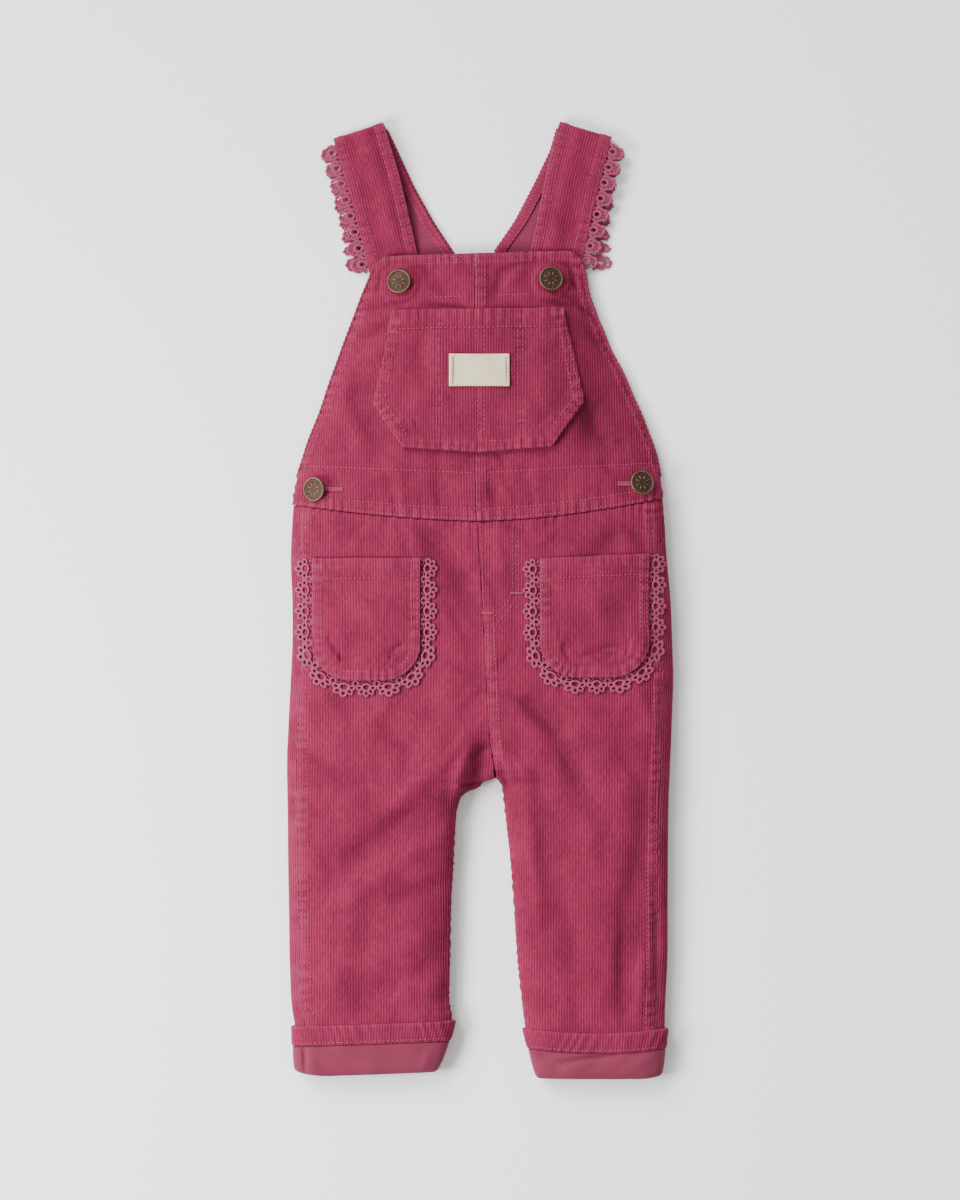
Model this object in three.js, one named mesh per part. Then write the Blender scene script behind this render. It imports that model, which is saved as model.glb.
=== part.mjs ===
// Toddler's bib overalls in fine corduroy, laid on their back and lightly filled out, with turned-up cuffs,
// lace along the straps and hip pockets, and four metal buttons. Millimetres; +Y runs from the cuffs to the
// shoulders, +Z is up from the surface, and left and right are those of someone looking down at the front.
// Every panel is a cloth wall swept through half rings: a ring starts at the middle of the back, runs out
// along the surface, turns up round the side seam and comes back over the front to the centre seam or inseam.
import * as THREE from "three";

// Cloth and fit
const WALL = 1.6; // corduroy, pile included
const SEAM = 0.3; // free width left between two pieces that are sewn together
const LIE = 0.5; // free height left under a piece that is sewn on top of a panel
const SQUARENESS = 2.8; // exponent of a filled tube's rounded section
const SIDE_SEAM_INSET = 7; // the back wraps this far over the front's outline
const SIDE_SEAM_TURNS_OUT = 32; // above this the side seam runs out to the outline

// Places along the garment
const TOP_OF_BIB = 234;
const WAIST = 53;
const WAIST_RISE_LEFT = 11;
const WAIST_RISE_RIGHT = 16;
const CROTCH = -121;
const CUFF_TOP = -290;
const CUFF_HEM = -304;
const LEG_END = -321;
const CUFF_FOLD = -324.6;
const BIB_HALF_WIDTH = 126;

// The lie of each leg's end
const LEG_ENDS = {
  left: { middle: -74, rise: 3, slope: 0.035, sag: 0, corner: 3.4 },
  right: { middle: 79, rise: 0, slope: 0, sag: 3.2, corner: 3.6 },
};
const END_SHIFTS_FROM = -250;
const LEG_END_HALF_WIDTH = 50;
const CORNER_FROM = 28;

// A table's rows under the names of its columns.
const rowsOf = (names, rows) => rows.map((row) => Object.fromEntries(names.map((name, i) => [name, row[i]])));

// Outline and fullness of the body, from the top of the bib to the cuffs. left and right are the silhouette,
// leftInner and rightInner the centre seam, then the inseams. height is the top of the filled form, edge the
// height of its widest line, upright 1 for a filled tube and 0 for a lens, turn how far the front has rolled
// down at its inner edge (1 is a closed leg), and lift the room left underneath for the cuff.
const BODY = rowsOf(
  ["y", "left", "right", "leftInner", "rightInner", "height", "edge", "upright", "turn", "lift"],
  [
    [237, -68.5, 66, -3.4, -3.4, 10.5, 6, 0, 0, 0],
    [221, -74, 71.5, -3.4, -3.4, 12.5, 5.6, 0, 0, 0],
    [204, -81, 75, -3.4, -3.4, 14.5, 5, 0, 0, 0],
    [176, -91.2, 86.6, -3.4, -3.4, 18, 4, 0, 0, 0],
    [149, -101.3, 99.3, -3.3, -3.3, 20.5, 3.8, 0, 0, 0],
    [122, -110.8, 110.4, -3.2, -3.2, 22, 3.8, 0.2, 0, 0],
    [95, -120.6, 120.2, -3.2, -3.2, 23, 5, 0.5, 0, 0],
    [78, -125.2, 123, -3, -3, 23.5, 6, 0.85, 0, 0],
    [58, -127, 124.8, -2.4, -2.4, 24, 6, 1, 0, 0],
    [27, -128.4, 126.8, -0.4, -0.4, 25, 6, 1, 0, 0],
    [0, -127.4, 129.3, 1.4, 1.4, 25, 6, 1, 0, 0],
    [-27, -127.3, 130.4, 3, 3, 24.5, 6, 1, 0.02, 0],
    [-55, -128.5, 131.2, 4.4, 4.4, 24, 6, 1, 0.06, 0],
    [-82, -129.9, 130.2, 5.8, 5.8, 23.5, 6, 1, 0.2, 0],
    [-95, -130.5, 129.8, 6.8, 6.8, 23.2, 6, 1, 0.4, 0],
    [-104, -131, 129.4, 8, 8, 23, 6, 1, 0.6, 0],
    [-112, -131, 129, 10, 10, 23, 6, 1, 0.85, 0],
    [-119, -131, 128.8, 9, 11.8, 22.5, 6, 1, 1, 0],
    [-125, -130.8, 128.4, 0.4, 13.4, 22, 6, 1, 1, 0],
    [-131, -130.8, 128.2, -10.4, 15, 22, 6, 1, 1, 0],
    [-138, -130.6, 128, -14.6, 16.4, 22, 6, 1, 1, 0],
    [-150, -130.5, 127.8, -16.6, 17.8, 21.5, 6, 1, 1, 0],
    [-177, -130.3, 127.5, -18, 20.8, 21, 6, 1, 1, 0],
    [-210, -129.7, 127.4, -19.8, 23.3, 20.5, 6, 1, 1, 0],
    [-245, -129.2, 127.2, -20.4, 25.6, 19.5, 6, 1, 1, 0],
    [-276, -127.9, 125.6, -21, 29, 18, 5.5, 1, 1, 0.2],
    [-290, -125.6, 125.2, -19, 31, 16, 5, 1, 1, 2.8],
    [-304, -125.2, 124, -22.5, 34.5, 14, 5, 1, 1, 2.8],
    [-326, -124.4, 122, -31, 40, 12, 4.5, 1, 1, 2.8],
  ],
);

// The largest folds of the front, each along a straight line on the plan. depth is negative in a trough.
const FOLDS = rowsOf(
  ["x1", "y1", "x2", "y2", "width", "depth"],
  [
    [-40, 46, -10, -8, 7, -2],
    [-24, -62, -6, -112, 7, 1.8],
    [-26, -136, -88, -172, 11, -1.8],
    [-20, -158, -62, -216, 10, 1.2],
    [-122, -112, -92, -122, 8, -1.4],
    [94, 46, 78, 30, 7, -1.6],
    [26, -68, 52, -84, 7, -2],
    [54, -90, 72, -144, 8, -2.8],
    [40, -88, 34, -140, 7, 1.8],
    [46, -150, 50, -250, 10, -1.8],
    [110, -140, 98, -262, 9, -2.2],
    [-84, 138, -70, 98, 8, -1.6],
    [84, 138, 72, 96, 8, -1.6],
  ],
);

// Sewn-on pieces, on the plan
const HIP_POCKETS = {
  left: { left: -113, right: -40, top: 28, bottom: -54.5, tilt: 0 },
  right: { left: 40.5, right: 114, top: 27.6, bottom: -52.5, tilt: 3.4 },
};
const HIP_POCKET_ROUND = 25;
const HIP_POCKET_WALL = 1.5;
const BIB_POCKET = [
  { x: -71.5, low: 132.5, high: 133.5 },
  { x: -58.8, low: 111.5, high: 195.4 },
  { x: -52, low: 102.6, high: 195.8 },
  { x: -0.5, low: 99.4, high: 196.4 },
  { x: 48.6, low: 103.4, high: 197 },
  { x: 56, low: 114.4, high: 197.2 },
  { x: 70, low: 134.6, high: 135.6 },
];
const BIB_POCKET_WALL = 1.5;
const LABEL = { left: -21, right: 19.8, bottom: 143.8, top: 165.6, wall: 0.8 };
const LACE = { pitch: 13.6, width: 10, valley: 6.2, wall: 1.1 };
const BUTTON = { radius: 8.6, rim: 1.1, dome: 2.6, shank: 2.4 };
const BUTTONS = {
  bib_left: { x: -54.4, y: 215 },
  bib_right: { x: 47.6, y: 217 },
  side_left: { x: -111.2, y: 74.5 },
  side_right: { x: 109, y: 78.5 },
};

// Straps: the front half's two edges at the button end and at the shoulder fold, then the back half's edges
// from the fold down to the yoke. outer is the lace side, inner the neck side.
const STRAP_WALL = 1.6;
const FOLD_RADIUS = 3.1;
const STRAPS = {
  left: {
    front: [
      { outerX: -70.5, outerY: 203, innerX: -36.5, innerY: 197, top: 4 },
      { outerX: -76.6, outerY: 228, innerX: -42.4, innerY: 236, top: 4 },
      { outerX: -80.5, outerY: 245, innerX: -46, innerY: 252, top: 5.2 },
      { outerX: -90, outerY: 280, innerX: -54.5, innerY: 288, top: 9 },
      { outerX: -98.6, outerY: 309.4, innerX: -64.4, innerY: 320.6, top: 7.8 },
    ],
    back: [
      { outerX: -93, outerY: 290, innerX: -56, innerY: 303 },
      { outerX: -81, outerY: 262, innerX: -45.5, innerY: 280 },
      { outerX: -73, outerY: 244, innerX: -31.5, innerY: 255 },
      { outerX: -70, outerY: 233, innerX: -17.5, innerY: 234 },
    ],
  },
  right: {
    front: [
      { outerX: 63, outerY: 203, innerX: 28.5, innerY: 199, top: 4 },
      { outerX: 69.6, outerY: 232, innerX: 34.4, innerY: 238, top: 4 },
      { outerX: 73.4, outerY: 248, innerX: 38, innerY: 254, top: 5.2 },
      { outerX: 81, outerY: 282, innerX: 45, innerY: 290, top: 9 },
      { outerX: 88.6, outerY: 310.4, innerX: 53, innerY: 320.9, top: 7.8 },
    ],
    back: [
      { outerX: 83.5, outerY: 292, innerX: 48.5, innerY: 305 },
      { outerX: 74, outerY: 264, innerX: 37.5, innerY: 282 },
      { outerX: 68.5, outerY: 246, innerX: 24.5, innerY: 257 },
      { outerX: 66.5, outerY: 235, innerX: 10, innerY: 236 },
    ],
  },
};

// The back's yoke: how far its edge lies inside the body's outline, and how far that edge is turned up.
const YOKE_SIDES = [
  { y: 53, inset: 0, turnedUp: 90 },
  { y: 69, inset: 0, turnedUp: 90 },
  { y: 82, inset: 0.4, turnedUp: 50 },
  { y: 94, inset: 1.4, turnedUp: 12 },
  { y: 104, inset: 2.4, turnedUp: 0 },
  { y: 132, inset: 6.5, turnedUp: 0 },
  { y: 176, inset: 8, turnedUp: 0 },
  { y: 214, inset: 3, turnedUp: 0 },
  { y: 237, inset: 0, turnedUp: 0 },
];
const YOKE_TOP = [
  { x: -70, y: 232.6 },
  { x: -17.5, y: 233.6 },
  { x: -9, y: 226 },
  { x: 1, y: 224 },
  { x: 7, y: 227.5 },
  { x: 12, y: 235 },
  { x: 67, y: 234.6 },
];

const smooth = (t) => {
  const c = Math.min(1, Math.max(0, t));
  return c * c * (3 - 2 * c);
};
const mix = (a, b, t) => a + (b - a) * t;

// Reads a column of a table at a place between its rows, on a smooth curve through them.
function readTable(table, place, column, key = "y") {
  const falling = table[0][key] > table[table.length - 1][key];
  const rows = falling ? [...table].reverse() : table;
  const last = rows.length - 1;
  if (place <= rows[0][key]) return rows[0][column];
  if (place >= rows[last][key]) return rows[last][column];
  let k = 0;
  while (rows[k + 1][key] < place) k++;
  const slope = (i) => {
    const a = rows[Math.max(0, i - 1)];
    const b = rows[Math.min(last, i + 1)];
    return (b[column] - a[column]) / (b[key] - a[key]);
  };
  const span = rows[k + 1][key] - rows[k][key];
  const t = (place - rows[k][key]) / span;
  const rest = 1 - t;
  return (
    rows[k][column] * rest * rest * (1 + 2 * t) +
    rows[k + 1][column] * t * t * (3 - 2 * t) +
    slope(k) * span * t * rest * rest -
    slope(k + 1) * span * t * t * rest
  );
}

// Straight-line reading of a table, for outlines with corners.
function readStraight(table, place, column, key) {
  let k = 0;
  while (k < table.length - 2 && table[k + 1][key] < place) k++;
  const t = (place - table[k][key]) / (table[k + 1][key] - table[k][key]);
  return mix(table[k][column], table[k + 1][column], Math.min(1, Math.max(0, t)));
}

// Height that the folds add at a place on the plan.
function foldAt(x, y) {
  let sum = 0;
  for (const f of FOLDS) {
    const dx = f.x2 - f.x1;
    const dy = f.y2 - f.y1;
    const t = ((x - f.x1) * dx + (y - f.y1) * dy) / (dx * dx + dy * dy);
    const c = Math.min(1, Math.max(0, t));
    const away = Math.hypot(x - f.x1 - c * dx, y - f.y1 - c * dy) / f.width;
    sum += f.depth * Math.exp(-away * away);
  }
  return sum;
}

const waistY = (x) => {
  const reach = Math.min(1, Math.abs(x) / BIB_HALF_WIDTH);
  return WAIST + (x < 0 ? WAIST_RISE_LEFT : WAIST_RISE_RIGHT) * Math.pow(reach, 1.7);
};

const ringCache = new Map();
const QUARTER_STEPS = 6;
const TOP_STEPS = 64;

// Half a ring at one place along the body, in the side's own coordinates (u is positive outwards).
function ring(side, y) {
  const id = `${side} ${y.toFixed(3)}`;
  if (ringCache.has(id)) return ringCache.get(id);
  const read = (column) => readTable(BODY, y, column);
  const outer = side * read(side < 0 ? "left" : "right");
  const inner = side * read(side < 0 ? "leftInner" : "rightInner");
  const [height, edge, lift] = [read("height"), read("edge"), Math.max(0, read("lift"))];
  const turn = Math.min(1, Math.max(0, read("turn")));
  const power = mix(1, 1 / SQUARENESS, Math.min(1, Math.max(0, read("upright"))));
  const tuck = edge * smooth((turn - 0.8) / 0.2);
  const points = [];
  for (let k = 0; k <= QUARTER_STEPS; k++) {
    const a = ((k / QUARTER_STEPS) * Math.PI) / 2;
    points.push([inner + tuck * (1 - Math.cos(a)), lift + tuck * (1 - Math.sin(a))]);
  }
  for (let k = 0; k <= QUARTER_STEPS; k++) {
    const b = ((k / QUARTER_STEPS) * Math.PI) / 2;
    points.push([outer - edge * (1 - Math.sin(b)), lift + edge * (1 - Math.cos(b))]);
  }
  const wideIndex = points.length - 1;
  const lastAngle = Math.acos(-Math.pow(turn, SQUARENESS / 2));
  for (let k = 1; k <= TOP_STEPS; k++) {
    const c = Math.cos((k / TOP_STEPS) * lastAngle);
    const across = -Math.sign(c) * Math.pow(Math.abs(c), 2 / SQUARENESS);
    const rise = Math.pow(Math.max(0, 1 - Math.pow(Math.abs(across), SQUARENESS)), power);
    points.push([outer - ((across + 1) / (1 + turn)) * (outer - inner), lift + edge + (height - edge) * rise]);
  }
  const apart = (p, q) => Math.hypot(p[0] - q[0], p[1] - q[1]);
  const kept = points.filter((p, k) => k === 0 || apart(p, points[k - 1]) > 1e-6);
  const wide = kept.indexOf(points[wideIndex]);
  const arc = [0];
  for (let k = 1; k < kept.length; k++) arc.push(arc[k - 1] + apart(kept[k], kept[k - 1]));
  let past = wide;
  while (kept[past][0] > outer - SIDE_SEAM_INSET) past++;
  const t = (kept[past - 1][0] - outer + SIDE_SEAM_INSET) / (kept[past - 1][0] - kept[past][0]);
  const over = mix(arc[past - 1], arc[past], t);
  const seam = mix(over, arc[wide], smooth((y - SIDE_SEAM_TURNS_OUT) / (WAIST - SIDE_SEAM_TURNS_OUT)));
  const made = { points: kept, arc, side, y, wide: arc[wide], seam, end: arc[arc.length - 1] };
  ringCache.set(id, made);
  return made;
}

// How far the end of a leg lies up or down the surface from its even place: the whole end is higher or aslant,
// the hem sags in its middle, and the fold is rounded off at the side seam.
function endShift(side, x, y) {
  if (y > END_SHIFTS_FROM) return 0;
  const { middle, rise, slope, sag, corner } = LEG_ENDS[side < 0 ? "left" : "right"];
  const below = smooth((CUFF_HEM - y) / (CUFF_HEM - CUFF_FOLD));
  const across = Math.cos(Math.min(1, Math.abs(x - middle) / LEG_END_HALF_WIDTH) * (Math.PI / 2));
  const sideways = Math.max(0, side * (x - middle) - CORNER_FROM) / (LEG_END_HALF_WIDTH - CORNER_FROM);
  const whole = rise + slope * (x - middle) - sag * across * (1 - below) + corner * below * sideways ** 2;
  return whole * smooth((END_SHIFTS_FROM - y) / (END_SHIFTS_FROM - CUFF_TOP));
}

// A point on a half ring at an arc length from its start, moved out along the ring's normal.
function onRing(r, arc, out) {
  let k = 0;
  while (k < r.arc.length - 2 && r.arc[k + 1] < arc) k++;
  const [a, b] = [r.points[k], r.points[k + 1]];
  const t = (arc - r.arc[k]) / (r.arc[k + 1] - r.arc[k]);
  const direction = (i) => {
    const before = r.points[Math.max(0, i - 1)];
    const after = r.points[Math.min(r.points.length - 1, i + 1)];
    const length = Math.hypot(after[0] - before[0], after[1] - before[1]);
    return [(after[1] - before[1]) / length, -(after[0] - before[0]) / length];
  };
  const [na, nb] = [direction(k), direction(k + 1)];
  const normal = [mix(na[0], nb[0], t), mix(na[1], nb[1], t)];
  const size = Math.hypot(normal[0], normal[1]);
  const u = mix(a[0], b[0], t);
  const z = mix(a[1], b[1], t);
  const top = arc > r.wide ? smooth(normal[1] / size / 0.6) : 0;
  const away = out + top * foldAt(r.side * u, r.y);
  const x = r.side * (u + (normal[0] / size) * away);
  return new THREE.Vector3(x, r.y + endShift(r.side, r.side * u, r.y), z + (normal[1] / size) * away);
}

// A closed cloth wall between an outer and an inner grid of points. Open walls get four cut edges, and a
// wall that runs all round, such as a cuff, joins its last column to its first.
function clothWall(columns, rows, outerAt, innerAt, allRound = false) {
  const perRow = allRound ? columns : columns + 1;
  const half = perRow * (rows + 1);
  const positions = [];
  for (const at of [outerAt, innerAt])
    for (let j = 0; j <= rows; j++)
      for (let i = 0; i < perRow; i++) positions.push(...at(i, j).toArray());
  const id = (i, j, layer) => layer * half + j * perRow + (i % perRow);
  const faces = [];
  const quad = (a, b, c, d) => faces.push(a, b, c, a, c, d);
  for (let j = 0; j < rows; j++)
    for (let i = 0; i < columns; i++) {
      quad(id(i, j, 0), id(i + 1, j, 0), id(i + 1, j + 1, 0), id(i, j + 1, 0));
      quad(id(i, j, 1), id(i, j + 1, 1), id(i + 1, j + 1, 1), id(i + 1, j, 1));
    }
  for (let i = 0; i < columns; i++) {
    quad(id(i, 0, 0), id(i, 0, 1), id(i + 1, 0, 1), id(i + 1, 0, 0));
    quad(id(i, rows, 0), id(i + 1, rows, 0), id(i + 1, rows, 1), id(i, rows, 1));
  }
  if (!allRound)
    for (let j = 0; j < rows; j++) {
      quad(id(0, j, 0), id(0, j + 1, 0), id(0, j + 1, 1), id(0, j, 1));
      quad(id(columns, j, 0), id(columns, j, 1), id(columns, j + 1, 1), id(columns, j + 1, 0));
    }
  const geometry = new THREE.BufferGeometry();
  geometry.setAttribute("position", new THREE.Float32BufferAttribute(positions, 3));
  let volume = 0;
  const corner = (n) => new THREE.Vector3().fromArray(positions, 3 * n);
  for (let f = 0; f < faces.length; f += 3)
    volume += corner(faces[f]).dot(corner(faces[f + 1]).cross(corner(faces[f + 2])));
  if (volume < 0) faces.reverse();
  geometry.setIndex(faces);
  geometry.computeVertexNormals();
  return geometry;
}

const overalls = new THREE.Group();
const corduroy = new THREE.MeshStandardMaterial({ color: 0xa83a5c, roughness: 0.95, metalness: 0 });
const clothBack = new THREE.MeshStandardMaterial({ color: 0xb85672, roughness: 0.9, metalness: 0 });
const laceThread = new THREE.MeshStandardMaterial({ color: 0xbd5a7c, roughness: 0.85, metalness: 0 });
const twillTape = new THREE.MeshStandardMaterial({ color: 0xe6dccb, roughness: 0.9, metalness: 0 });
const agedBrass = new THREE.MeshStandardMaterial({ color: 0x6e6149, roughness: 0.45, metalness: 0.9 });

function addPiece(name, geometry, material) {
  const mesh = new THREE.Mesh(geometry, material);
  mesh.name = name;
  overalls.add(mesh);
  return mesh;
}

// Rows of a leg, closer together round the crotch, and the columns of its back and front.
const BACK_COLUMNS = 12;
const FRONT_COLUMNS = 14;
const ABOVE_CROTCH = [53, 39, 24, 7, -11, -29, -47, -65, -81, -95, -106, -113, -119];
const BELOW_CROTCH = [-124, -129, -135, -144, -157, -175, -198, -224, -252, -276];
const LEG_ROWS = [...ABOVE_CROTCH, ...BELOW_CROTCH, CUFF_TOP, CUFF_HEM, -314, LEG_END];

const crowded = (t, amount) => mix(t, (1 - Math.cos(t * Math.PI)) / 2, amount); // closer together at both ends
const backShare = (i) => crowded(i / BACK_COLUMNS, 0.85);
const frontShare = (i) => crowded(i / FRONT_COLUMNS, 0.5);

// Front and back of each leg, from the waist seam to the fold of the cuff
const WAIST_SHAPING = 55; // the waist seam's curve has faded out this far below it
const frontSkin = [];

function addToSkin(columns, rows, at) {
  for (let j = 0; j < rows; j++)
    for (let i = 0; i < columns; i++) {
      const [a, b, c, d] = [at(i, j), at(i + 1, j), at(i + 1, j + 1), at(i, j + 1)];
      frontSkin.push([a, b, c], [a, c, d]);
    }
}

// A point of a leg's row, which bends with the waist seam near the top. arcOf gives its place on a ring.
function onLegRow(side, j, arcOf, out) {
  const fade = smooth(1 - (WAIST - LEG_ROWS[j]) / WAIST_SHAPING);
  let y = LEG_ROWS[j];
  for (let pass = 0; pass < 4; pass++) {
    const r = ring(side, y);
    y = LEG_ROWS[j] + (waistY(onRing(r, arcOf(r), 0).x) - WAIST) * fade - (j === 0 ? SEAM / 2 : 0);
  }
  const r = ring(side, y);
  return onRing(r, arcOf(r), out);
}

function frontPanel(side) {
  const at = (out) => (i, j) => onLegRow(side, j, (r) => mix(r.seam + SEAM / 2, r.end - SEAM, frontShare(i)), out);
  addToSkin(FRONT_COLUMNS, LEG_ROWS.length - 1, at(0));
  return clothWall(FRONT_COLUMNS, LEG_ROWS.length - 1, at(0), at(-WALL));
}

function backPanel(side) {
  const at = (out) => (i, j) => onLegRow(side, j, (r) => mix(SEAM / 2, r.seam - SEAM / 2, backShare(i)), out);
  return clothWall(BACK_COLUMNS, LEG_ROWS.length - 1, at(0), at(-WALL));
}

addPiece("front_left", frontPanel(-1), corduroy);
addPiece("front_right", frontPanel(1), corduroy);
addPiece("back_left", backPanel(-1), corduroy);
addPiece("back_right", backPanel(1), corduroy);

// Bib: two halves joined down the middle by a felled seam that stands up on the right half
const BIB_ROWS = 15;
const FELL_WIDTH = 7.6;
const FELL_HEIGHT = 0.7;

function bibHalf(side, shares) {
  const pointAt = (i, j, out) => {
    const { share, fromSeam } = shares[i];
    const arc = (r) => {
      const to = r.end - SEAM / 2;
      return fromSeam === undefined ? mix(r.wide + SEAM / 2, to - FELL_WIDTH - 1, share) : to - fromSeam;
    };
    let y = WAIST;
    for (let pass = 0; pass < 4; pass++) {
      const { x } = onRing(ring(side, y), arc(ring(side, y)), 0);
      y = mix(waistY(x) + SEAM / 2, TOP_OF_BIB + 0.03 * x, j / BIB_ROWS);
    }
    return onRing(ring(side, y), arc(ring(side, y)), out);
  };
  const columns = shares.length - 1;
  addToSkin(columns, BIB_ROWS, (i, j) => pointAt(i, j, 0));
  return clothWall(columns, BIB_ROWS, (i, j) => pointAt(i, j, shares[i].raised), (i, j) => pointAt(i, j, -WALL));
}

const bibShares = [0, 0.06, 0.18, 0.32, 0.46, 0.6, 0.74, 0.88, 1].map((share) => ({ share, raised: 0 }));
const plainEnd = [{ share: 1, fromSeam: 0, raised: 0 }];
const felledEnd = [
  { share: 1, fromSeam: FELL_WIDTH, raised: 0 },
  { share: 1, fromSeam: FELL_WIDTH - 0.4, raised: FELL_HEIGHT },
  { share: 1, fromSeam: 0, raised: FELL_HEIGHT },
];
addPiece("bib_left", bibHalf(-1, [...bibShares, ...plainEnd]), corduroy);
addPiece("bib_right", bibHalf(1, [...bibShares, ...felledEnd]), corduroy);

// Back yoke: one flat piece from the waist to the straps, turned up at the sides below the armholes
const YOKE_COLUMNS = 26;
const YOKE_ROWS = 11;
const YOKE_TURN_RADIUS = 6;

function yokePoint(i, j, out) {
  const across = (i / YOKE_COLUMNS) * 2 - 1;
  const side = Math.sign(across) || 1;
  const share = Math.abs(across) ** 0.8;
  const topX = side < 0 ? -share * 70 : share * 67;
  const place = (y) => {
    const widest = Math.abs(readTable(BODY, y, side < 0 ? "left" : "right")) - readTable(YOKE_SIDES, y, "inset");
    const turned = Math.max(0, (readTable(YOKE_SIDES, y, "turnedUp") * Math.PI) / 180 - SEAM / 2 / YOKE_TURN_RADIUS);
    const flat = widest - YOKE_TURN_RADIUS * Math.sin(turned);
    const along = share * (flat + YOKE_TURN_RADIUS * turned);
    const angle = Math.max(0, along - flat) / YOKE_TURN_RADIUS;
    return { angle, u: Math.min(along, flat) };
  };
  let y = WAIST;
  for (let pass = 0; pass < 4; pass++) {
    const { angle, u } = place(y);
    const low = waistY(side * (u + Math.sin(angle) * YOKE_TURN_RADIUS)) + SEAM / 2;
    y = mix(low, readStraight(YOKE_TOP, topX, "y", "x"), j / YOKE_ROWS);
  }
  const { angle, u } = place(y);
  const radius = YOKE_TURN_RADIUS + out;
  return new THREE.Vector3(side * (u + Math.sin(angle) * radius), y, YOKE_TURN_RADIUS - Math.cos(angle) * radius);
}

const yokeSide = (out) => (i, j) => yokePoint(i, j, out);
addPiece("back_yoke", clothWall(YOKE_COLUMNS, YOKE_ROWS, yokeSide(0), yokeSide(-WALL)), corduroy);

// Where a vertical line meets the front's outer surface, and the surface's slope there.
function onFront(x, y) {
  let best = null;
  for (const [a, b, c] of frontSkin) {
    const area = (b.x - a.x) * (c.y - a.y) - (c.x - a.x) * (b.y - a.y);
    if (Math.abs(area) < 1e-9) continue;
    const s = ((x - a.x) * (c.y - a.y) - (c.x - a.x) * (y - a.y)) / area;
    const t = ((b.x - a.x) * (y - a.y) - (x - a.x) * (b.y - a.y)) / area;
    if (s < -1e-6 || t < -1e-6 || s + t > 1 + 1e-6) continue;
    const z = a.z + s * (b.z - a.z) + t * (c.z - a.z);
    if (!best || z > best.z) {
      const normal = b.clone().sub(a).cross(c.clone().sub(a)).normalize();
      if (normal.z < 0) normal.negate();
      best = new THREE.Vector3(x, y, z);
      best.normal = normal;
    }
  }
  if (best) return best;
  const near = onFront(x * 0.995, y > WAIST && y < WAIST + 30 ? y + 0.6 : y);
  near.x = x;
  return near;
}

// A point at a height over the front, leaning out with the surface, averaged over a small patch of it.
const PATCH = 5;
function overFront(x, y, out) {
  const spots = [[0, 0], [PATCH, 0], [-PATCH, 0], [0, PATCH], [0, -PATCH]].map(([dx, dy]) => onFront(x + dx, y + dy));
  const normal = new THREE.Vector3();
  for (const spot of spots) normal.add(spot.normal);
  return spots[0].clone().addScaledVector(normal.normalize(), out);
}

// Hip pockets: a straight top and a round bottom, standing slightly open at the top
const POCKET_COLUMNS = 12;
const POCKET_ROWS = 8;
const POCKET_EASE = 1.2;

function hipPocketEdge(pocket, share) {
  const x = mix(pocket.left, pocket.right, share);
  const near = Math.max(0, HIP_POCKET_ROUND - Math.min(x - pocket.left, pocket.right - x));
  const low = pocket.bottom + HIP_POCKET_ROUND - Math.sqrt(Math.max(0, HIP_POCKET_ROUND ** 2 - near ** 2));
  return { x, low, high: pocket.top + pocket.tilt * share };
}

function hipPocket(pocket) {
  const pointAt = (i, j, out) => {
    const share = (1 - Math.cos((i / POCKET_COLUMNS) * Math.PI)) / 2;
    const { x, low, high } = hipPocketEdge(pocket, share);
    const up = j / POCKET_ROWS;
    const ease = POCKET_EASE * Math.sin(share * Math.PI) * smooth(up);
    return overFront(x, mix(low, high, up), out + ease);
  };
  const at = (out) => (i, j) => pointAt(i, j, out);
  return clothWall(POCKET_COLUMNS, POCKET_ROWS, at(LIE + HIP_POCKET_WALL), at(LIE));
}

addPiece("hip_pocket_left", hipPocket(HIP_POCKETS.left), corduroy);
addPiece("hip_pocket_right", hipPocket(HIP_POCKETS.right), corduroy);

// Bib pocket: six-sided, with its label of twill tape
const BIB_POCKET_COLUMNS = 16;
const BIB_POCKET_ROWS = 9;
const BIB_POCKET_CORNERS = BIB_POCKET.map((row) => row.x);
const bibPocketX = (i) => {
  const fromEnd = BIB_POCKET_COLUMNS - i;
  if (i < 2) return BIB_POCKET_CORNERS[i];
  if (fromEnd < 2) return BIB_POCKET_CORNERS.at(-1 - fromEnd);
  return mix(BIB_POCKET_CORNERS[2], BIB_POCKET_CORNERS.at(-3), (i - 2) / (BIB_POCKET_COLUMNS - 4));
};

function bibPocketPoint(x, up, out) {
  const low = readStraight(BIB_POCKET, x, "low", "x");
  const high = readStraight(BIB_POCKET, x, "high", "x");
  return overFront(x, mix(low, high, up), out);
}

addPiece(
  "bib_pocket",
  clothWall(
    BIB_POCKET_COLUMNS,
    BIB_POCKET_ROWS,
    (i, j) => bibPocketPoint(bibPocketX(i), j / BIB_POCKET_ROWS, FELL_HEIGHT + LIE + BIB_POCKET_WALL),
    (i, j) => bibPocketPoint(bibPocketX(i), j / BIB_POCKET_ROWS, FELL_HEIGHT + LIE),
  ),
  corduroy,
);

const labelPoint = (out) => (i, j) => {
  const x = mix(LABEL.left, LABEL.right, i / 4);
  const y = mix(LABEL.bottom, LABEL.top, j / 2);
  return overFront(x, y, FELL_HEIGHT + LIE + BIB_POCKET_WALL + LIE + out);
};
addPiece("label", clothWall(4, 2, labelPoint(LABEL.wall), labelPoint(0)), twillTape);

// Straps: from the yoke up the back, over the shoulder fold and down to the button under the bib's corner
const STRAP_COLUMNS = 4;
const FOLD_STEPS = 6;

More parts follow.
